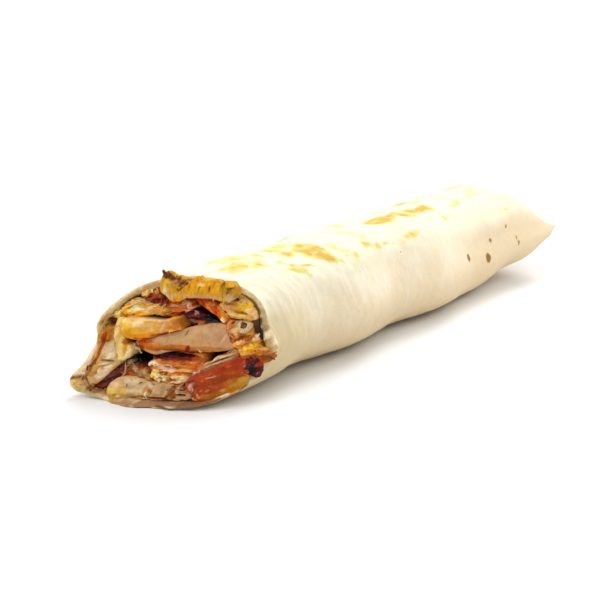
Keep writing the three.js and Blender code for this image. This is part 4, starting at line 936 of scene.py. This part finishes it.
def lavash_turn(look):
    """The inner end of the sheet, which lies against the upper right of the wall, painted darker low down as
    shade.
    """
    arc = np.arange(40.0, 63.0, 0.45)
    base, inward = outline(arc)
    thick = band(1.15, arc, 40, 43, 60, 63) + 0.15
    middle = 2.5 + 0.25 * fractal(samples(arc), 7.0, 91)
    front = 0.5 + 0.5 * fractal(samples(arc), 3.5, 93)
    steps = [0.2, 0.6, 1.2, 2, 3, 5, 8, 14, 25, 40, 60, 90, 120, 150]
    rows = [(-0.5, front + step) for step in steps[::-1]]
    rows += [(-0.5 * math.cos(math.pi * k / 6), front - 0.3 * math.sin(math.pi * k / 6)) for k in range(7)]
    rows += [(0.5, front + step) for step in steps]
    points, tints = [], []
    # painted shade: dark brown low on the turn, lightening towards its top
    shade = smooth(44, 56, arc)[:, None]
    for share, along in rows:
        inner = np.minimum(swelling(arc, along), 0.0) * smooth(0, 6, along)
        section = base + inward * (middle + share * thick - inner)[:, None]
        points.append(bend(*section.T, along))
        tint = tone("381600") * (1 - shade) + tone("ac8038") * shade
        tint = tint * (1 + 0.3 * fractal(samples(arc, along), 1.6, 95, 2))[:, None]
        tints.append(np.concatenate([tint, (1 - smooth(4, 12, along))[:, None]], axis=1))
    count = len(arc)
    faces = grid_faces(len(rows), count, wrap=False)
    for column in (0, count - 1):
        edge = [k * count + column for k in range(len(rows))]
        faces.append(edge[::-1] if column == 0 else edge)
    faces.append([k for k in range(count)] + [(len(rows) - 1) * count + k for k in range(count - 1, -1, -1)])
    make_object(
        "lavash_turn", np.concatenate(points), [face[::-1] for face in faces], "lavash", look, "lavash",
        tint=np.concatenate(tints).T, marks=(0, 0, 1),
    )


# ------------------------------------------------------------------ fillings
GRID, GRID_ROW = 0.3, 0.87  # spacing of a cut face's points, and of its rows as a share of that
ROUND = 0.5  # how far the edge of a cut face is rounded over
GROWTH = 0.42  # how far each piece is pressed into its neighbours
STRIP_END = 224
OFFSETS = [0.35, 0.8, 1.4, 2.1, 3.0, 4.2, 6.0, 8.4, 11.5, 16, *range(24, 193, 24), 213]
OFFSETS += [STRIP_END - 1.2, STRIP_END]
LEVEL_FROM = 20  # from here on a section is level, and doesn't follow the cut face's shape


def inside_polygon(points, ring):
    x, y = points[:, 0, None], points[:, 1, None]
    x0, y0 = ring[:, 0], ring[:, 1]
    x1, y1 = np.roll(x0, -1), np.roll(y0, -1)
    crosses = ((y0 > y) != (y1 > y)) & (x < (x1 - x0) * (y - y0) / np.where(y1 == y0, 1e-9, y1 - y0) + x0)
    return crosses.sum(axis=1) % 2 == 1


def nearest(points, ring):
    """How far each point is from the ring's nearest point."""
    return np.sqrt(((points[:, None] - ring[None]) ** 2).sum(axis=2)).min(axis=1)


cavity_arc = np.linspace(0, GIRTH, 600, endpoint=False)
cavity_base, cavity_in = outline(cavity_arc)
cavity = cavity_base + cavity_in * (WALL + 0.15)
MIDDLE = cavity_base.mean(axis=0)  # the middle of the section, which the filling draws in towards


def tucked(points):
    """The same section points, with any that are in the lavash moved just inside it."""
    out = ~inside_polygon(points, cavity)
    moved = points.copy()
    for k in np.nonzero(out)[0]:
        moved[k] = cavity[np.argmin(((cavity - points[k]) ** 2).sum(axis=1))]
    return moved


def rim_setback_at(section):
    """The rim's setback at the part of the outline nearest to each section point."""
    gap = ((section[:, None] - cavity_base[None]) ** 2).sum(axis=2)
    return rim_setback(cavity_arc[gap.argmin(axis=1)])


def cut_edge(text, recess, torn, seed):
    """A cut face's frayed outline and the direction out of it at each point."""
    curve = spline(numbers(text.split()), 24, closed=True)
    curve = np.concatenate([curve, curve[:1]])
    run = lengths(curve)
    ring = along_curve(np.linspace(0, run[-1], int(run[-1] / GRID), endpoint=False), run, curve)
    if np.sum(ring[:, 0] * np.roll(ring[:, 1], -1) - np.roll(ring[:, 0], -1) * ring[:, 1]) < 0:
        ring = ring[::-1].copy()
    side = np.roll(ring, -1, axis=0) - np.roll(ring, 1, axis=0)
    side /= np.linalg.norm(side, axis=1, keepdims=True)
    outward = np.stack([side[:, 1], -side[:, 0]], axis=-1)
    p = samples(*ring.T, recess)
    fray = 0.34 * fractal(p, 1.5, seed + 1, 2) + 0.3 * noise(p, 4.0, seed + 2)
    return ring + outward * (GROWTH + fray * torn)[:, None], outward


def cut_face(ring):
    """The points and triangles that fill a ring, and which of the points are the ring's."""
    low, high = ring.min(axis=0), ring.max(axis=0)
    gx, gz = np.meshgrid(np.arange(low[0], high[0], GRID), np.arange(low[1], high[1], GRID * GRID_ROW))
    gx[1::2] += GRID / 2
    grid = np.stack([gx.ravel(), gz.ravel()], axis=-1)
    grid = grid[inside_polygon(grid, ring)]
    grid = grid[nearest(grid, ring) > GRID * 0.6]
    points = [Vector(p) for p in np.concatenate([ring, grid]).tolist()]
    points, _, triangles, origins, *_ = delaunay_2d_cdt(points, [], [list(range(len(ring)))], 1, 1e-6)
    at_ring = {origin: k for k, sources in enumerate(origins) for origin in sources if origin < len(ring)}
    flat = np.array([tuple(v) for v in points])
    return flat, [list(face) for face in triangles], np.array([at_ring[k] for k in range(len(ring))])


def food_strip(name, slot):
    """One filling, from the cut to the far end. It gives its cut face's points, their depths and colours."""
    recess, base_colour, lie, torn, look, text, dabs = STRIPS[name]
    seed = sum(ord(c) for c in name)
    ring, outward = cut_edge(text, recess, torn, seed)
    flat, triangles, ring_index = cut_face(ring)
    count = len(ring)
    near = nearest(flat, ring)
    near[ring_index] = 0

    colour, relief = painted(flat, base_colour, dabs, seed)
    p = samples(*flat.T)
    along_fibre, across = along_fibres(*flat.T, lie)
    across = across + 0.5 * noise(p, 3.0, seed + 6)
    ridge = fractal(samples(along_fibre / 5, across / 1.05), 1.0, seed + 7, 2)
    mottle = (0.05 + 0.1 * min(torn, 1)) * fractal(p, 1.3, seed + 8, 2)
    # painted shade and light: the fibres' grooves, which lie deeper, are painted darker, and their ridges
    # lighter
    colour = vivid(colour) * (1 - 0.2 * ridge * torn + mottle)[:, None]
    bumps = 0.5 * fractal(p, 4.5, seed + 3, 2 + (torn > 0.55)) - 0.35 * smooth(0, 2.5, near)
    bumps = bumps + (0.02 + 0.1 * min(torn, 1)) * noise(p, 0.8, seed + 5)
    bumps = bumps + 0.24 * torn * ridge
    over = np.clip(near / ROUND, 0, 1)
    front = recess + ROUND * (1 - np.sqrt(1 - (1 - over) ** 2)) + bumps + relief * smooth(0, 0.8, near)

    rows, depths = [flat], [front]
    snug, rim = tucked(ring), rim_setback_at(ring)
    for offset in OFFSETS:
        along = front[ring_index] + offset if offset < LEVEL_FROM else np.full(count, float(offset))
        loose = 0.25 * fractal(samples(*ring.T, along), 2.6, seed + 9) - band(0.55, offset, 0.6, 4, 9, 16)
        hold = smooth(-1.0, 1.2, along - rim)[:, None]
        loosened = ring * (1 - hold) + snug * hold + outward * (loose * (1 - 0.5 * hold[:, 0]))[:, None]
        drawn_in = 0.07 * smooth(3, 16, along) + 0.08 * smooth(20, 70, along)
        rows.append(loosened + (MIDDLE - loosened) * drawn_in[:, None])
        depths.append(along)
    section, along = np.concatenate(rows), np.concatenate(depths)

    faces = [face[::-1] for face in triangles]
    rings = [ring_index] + [len(flat) + k * count + np.arange(count) for k in range(len(OFFSETS))]
    for upper, lower in zip(rings, rings[1:]):
        quads = np.stack([upper, lower, np.roll(lower, -1), np.roll(upper, -1)], axis=-1)
        faces += quads[:, ::-1].tolist()
    faces.append(rings[-1].tolist())
    shades = np.concatenate([colour] + [colour[ring_index]] * len(OFFSETS))
    # painted shade: how much a piece's sides are darkened, growing with depth behind the cut
    deep = 0.93 * smooth(1.5, 9.0, along - recess)
    points = bend(section[:, 0], np.maximum(section[:, 1], 0.05), along)
    make_object(name + "_piece", points, faces, slot, food_look(name, **look), name, tint=(*shades.T, deep))
    return flat, front, colour


FIBRE_SIDES = 8


def torn_fibres(look):
    """Torn fibres and thin edges that stand off the cut."""
    points, faces, tints = [], [], []
    for k, text in enumerate(STRANDS.split()):
        *path, last = text.split("/")
        half, along, tint = last.split(",")
        path = spline(numbers(path), 6, closed=False)
        way = np.gradient(path, axis=0)
        way /= np.linalg.norm(way, axis=1, keepdims=True)
        across = np.stack([way[:, 1], -way[:, 0]], axis=-1)
        t = np.linspace(0, 1, len(path))
        p = samples(*path.T, k * 7.7)
        width = float(half) * (0.85 + 0.6 * noise(p, 0.9, 5)) * np.clip(np.sin(np.pi * t) * 1.6, 0.15, 1)
        centre = path + across * (0.35 * noise(p, 1.1, 8))[:, None]
        lift = float(along) + 0.2 + 0.35 * noise(p, 2.2, 6)
        start = len(points)
        for i in range(len(path)):
            for j in range(FIBRE_SIDES):
                turn = 2 * math.pi * j / FIBRE_SIDES
                spot = centre[i] + across[i] * width[i] * math.cos(turn)
                points.append(bend(*spot, lift[i] + 0.55 * width[i] * math.sin(turn)))
                tints.append((*(tone(tint) * (0.8 + 0.25 * math.cos(3.0 * i + k))), 0.0))
        faces += [[start + v for v in face] for face in grid_faces(len(path), FIBRE_SIDES, wrap=True)]
        faces.append([start + j for j in range(FIBRE_SIDES - 1, -1, -1)])
        faces.append([start + (len(path) - 1) * FIBRE_SIDES + j for j in range(FIBRE_SIDES)])
    make_object("torn_fibres", points, faces, "chicken_pale", look, tint=np.array(tints).T)


def lumps(name, slot, look, seeds):
    """Small rough lumps and torn flakes.

    Each is x, z, half width, distance behind the cut, colour, and how far and which way it is drawn out."""
    ball = bmesh.new()
    bmesh.ops.create_icosphere(ball, subdivisions=2, radius=1)
    unit = np.array([v.co for v in ball.verts])
    sphere = np.array([[v.index for v in face.verts] for face in ball.faces])
    ball.free()
    points, faces, tints = [], [], []
    for k, (x, z, half, along, tint, stretch, lie) in enumerate(seeds):
        shape = unit * (1 + 0.6 * noise(unit + k * 3.1, 0.8, 15))[:, None] * half
        long, wide = shape[:, 0] * stretch, shape[:, 1] / stretch**0.5
        c, s = math.cos(lie), math.sin(lie)
        sunk = along + shape[:, 2] * 0.7 / stretch**0.5 + 0.22 * long * math.sin(k * 1.7)
        points.append(bend(x + long * c - wide * s, np.maximum(0.1, z + long * s + wide * c), sunk))
        faces += (sphere + k * len(unit)).tolist()
        tints.append(np.tile((*tint, 0.0), (len(unit), 1)))
    make_object(name, np.concatenate(points), faces, slot, look, tint=np.concatenate(tints).T)


# ------------------------------------------------------------------ the wrap
FLAKE_SHARE = 55  # a torn face has one flake for so many of its points
SLOTS = {part["node"]: part["material_slot"] for part in frame["record"]["subparts"]}
bread = lavash_look()
lavash_sheet(bread)
lavash_turn(bread)
chance = np.random.default_rng(12)
flakes, crumbs = [], []
for strip_name in STRIPS:
    face_points, face_front, face_colour = food_strip(strip_name, SLOTS[strip_name])
    if strip_name.startswith("chicken"):
        lie, torn = STRIPS[strip_name][2:4]
        wanted = int(len(face_points) * torn / FLAKE_SHARE)
        for pick in chance.choice(len(face_points), wanted, replace=False):
            shade = np.minimum(face_colour[pick] * chance.choice([0.45, 0.7, 1.15, 1.4]), 0.9)
            size, stretch = chance.uniform(0.14, 0.36), chance.uniform(1.2, 4.0)
            turn = math.radians(lie + chance.normal(0, 24))
            flakes.append((*face_points[pick], size, face_front[pick] - 0.1 * size, shade, stretch, turn))
for crumb in CRUMBS.split():
    *place, tint = crumb.split(",")
    crumbs.append((*map(float, place), tone(tint), chance.uniform(1.0, 2.2), chance.uniform(0, 3.1)))
loose_look = food_look("loose", spice=0.2)
torn_fibres(loose_look)
lumps("crumbs", "chicken_brown", loose_look, crumbs)
lumps("fine_crumbs", "chicken_golden", loose_look, flakes)

# ------------------------------------------------------------------ studio
FLOOR_HALF = 6.0
floor_mesh = bpy.data.meshes.new("floor")
corners = [(FLOOR_HALF * x, FLOOR_HALF * y, 0) for x, y in ((-1, -1), (1, -1), (1, 1), (-1, 1))]
floor_mesh.from_pydata(corners, [], [(0, 1, 2, 3)])
linked("floor", floor_mesh)
floor_look = Look("floor", Specular_IOR_Level=0.2)
floor_look.finish(floor_look.mix(floor_look.noise(300, 2), (0.82, 0.82, 0.82, 1), (0.84, 0.84, 0.84, 1)), 0.6)
floor_mesh.materials.append(floor_look.material)

HORIZON, ZENITH = 0.15, 1.3  # the sky's strength
world = bpy.data.worlds.new("studio")
bpy.context.scene.world = world
world.use_nodes = True
sky = world.node_tree
direction = sky.nodes.new("ShaderNodeTexCoord")
split = sky.nodes.new("ShaderNodeSeparateXYZ")
rise = sky.nodes.new("ShaderNodeMapRange")
rise.interpolation_type = "SMOOTHSTEP"
rise.inputs["To Min"].default_value = HORIZON
rise.inputs["To Max"].default_value = ZENITH
sky.links.new(direction.outputs["Generated"], split.inputs[0])
sky.links.new(split.outputs["Z"], rise.inputs["Value"])
sky.links.new(rise.outputs[0], sky.nodes["Background"].inputs["Strength"])
sky.nodes["Background"].inputs["Color"].default_value = (1.0, 1.0, 1.0, 1.0)

# Each sun: where it shines from, its strength, and how many degrees of the sky it fills.
SUNS = {
    "key": ((-0.12, 0.9, 1.0), 1.4, 28),
    "side": ((0.9, -0.2, 1.4), 0.04, 60),
    "front": ((-0.7, -0.85, 0.7), 0.81, 36),
}
for sun_name, (source, strength, spread) in SUNS.items():
    sun_data = bpy.data.lights.new(sun_name, "SUN")
    sun_data.energy = strength
    sun_data.angle = math.radians(spread)
    linked(sun_name, sun_data).rotation_euler = (-Vector(source)).to_track_quat("-Z", "Y").to_euler()

# A small low panel beside the far end, which fills the shadow there.
panel_data = bpy.data.lights.new("far_panel", "AREA")
panel_data.size = 0.12
panel_data.energy = 0.13
panel = linked("far_panel", panel_data)
panel.location = (0.13, 0.1, 0.11)
panel.rotation_euler = Vector((-0.45, 0.1, 0.9)).to_track_quat("Z", "Y").to_euler()
panel.visible_camera = False

scene = bpy.context.scene
scene.view_settings.view_transform = "Standard"
scene.view_settings.look = "None"

# Camera: 38.6 degrees to the right of the wrap's axis and 17.1 degrees above the floor.
CAMERA_PLACE = Vector((0.33541, -0.45342, 0.18520))
AZIMUTH, ELEVATION = math.radians(38.616), math.radians(17.145)
FOCAL_PIXELS, FRAME_PIXELS, SENSOR, FARTHEST = 1350.0, 600.0, 36.0, 50
level = math.cos(ELEVATION)
forward = Vector((-math.sin(AZIMUTH) * level, math.cos(AZIMUTH) * level, -math.sin(ELEVATION)))
right = Vector((math.cos(AZIMUTH), math.sin(AZIMUTH), 0))
camera_data = bpy.data.cameras.new("camera")
camera_data.sensor_width = SENSOR
camera_data.lens = FOCAL_PIXELS / FRAME_PIXELS * SENSOR
camera_data.clip_end = FARTHEST
camera = linked("camera", camera_data)
turned = Matrix((right, right.cross(forward), -forward)).transposed().to_4x4()
camera.matrix_world = Matrix.Translation(CAMERA_PLACE) @ turned
scene.camera = camera
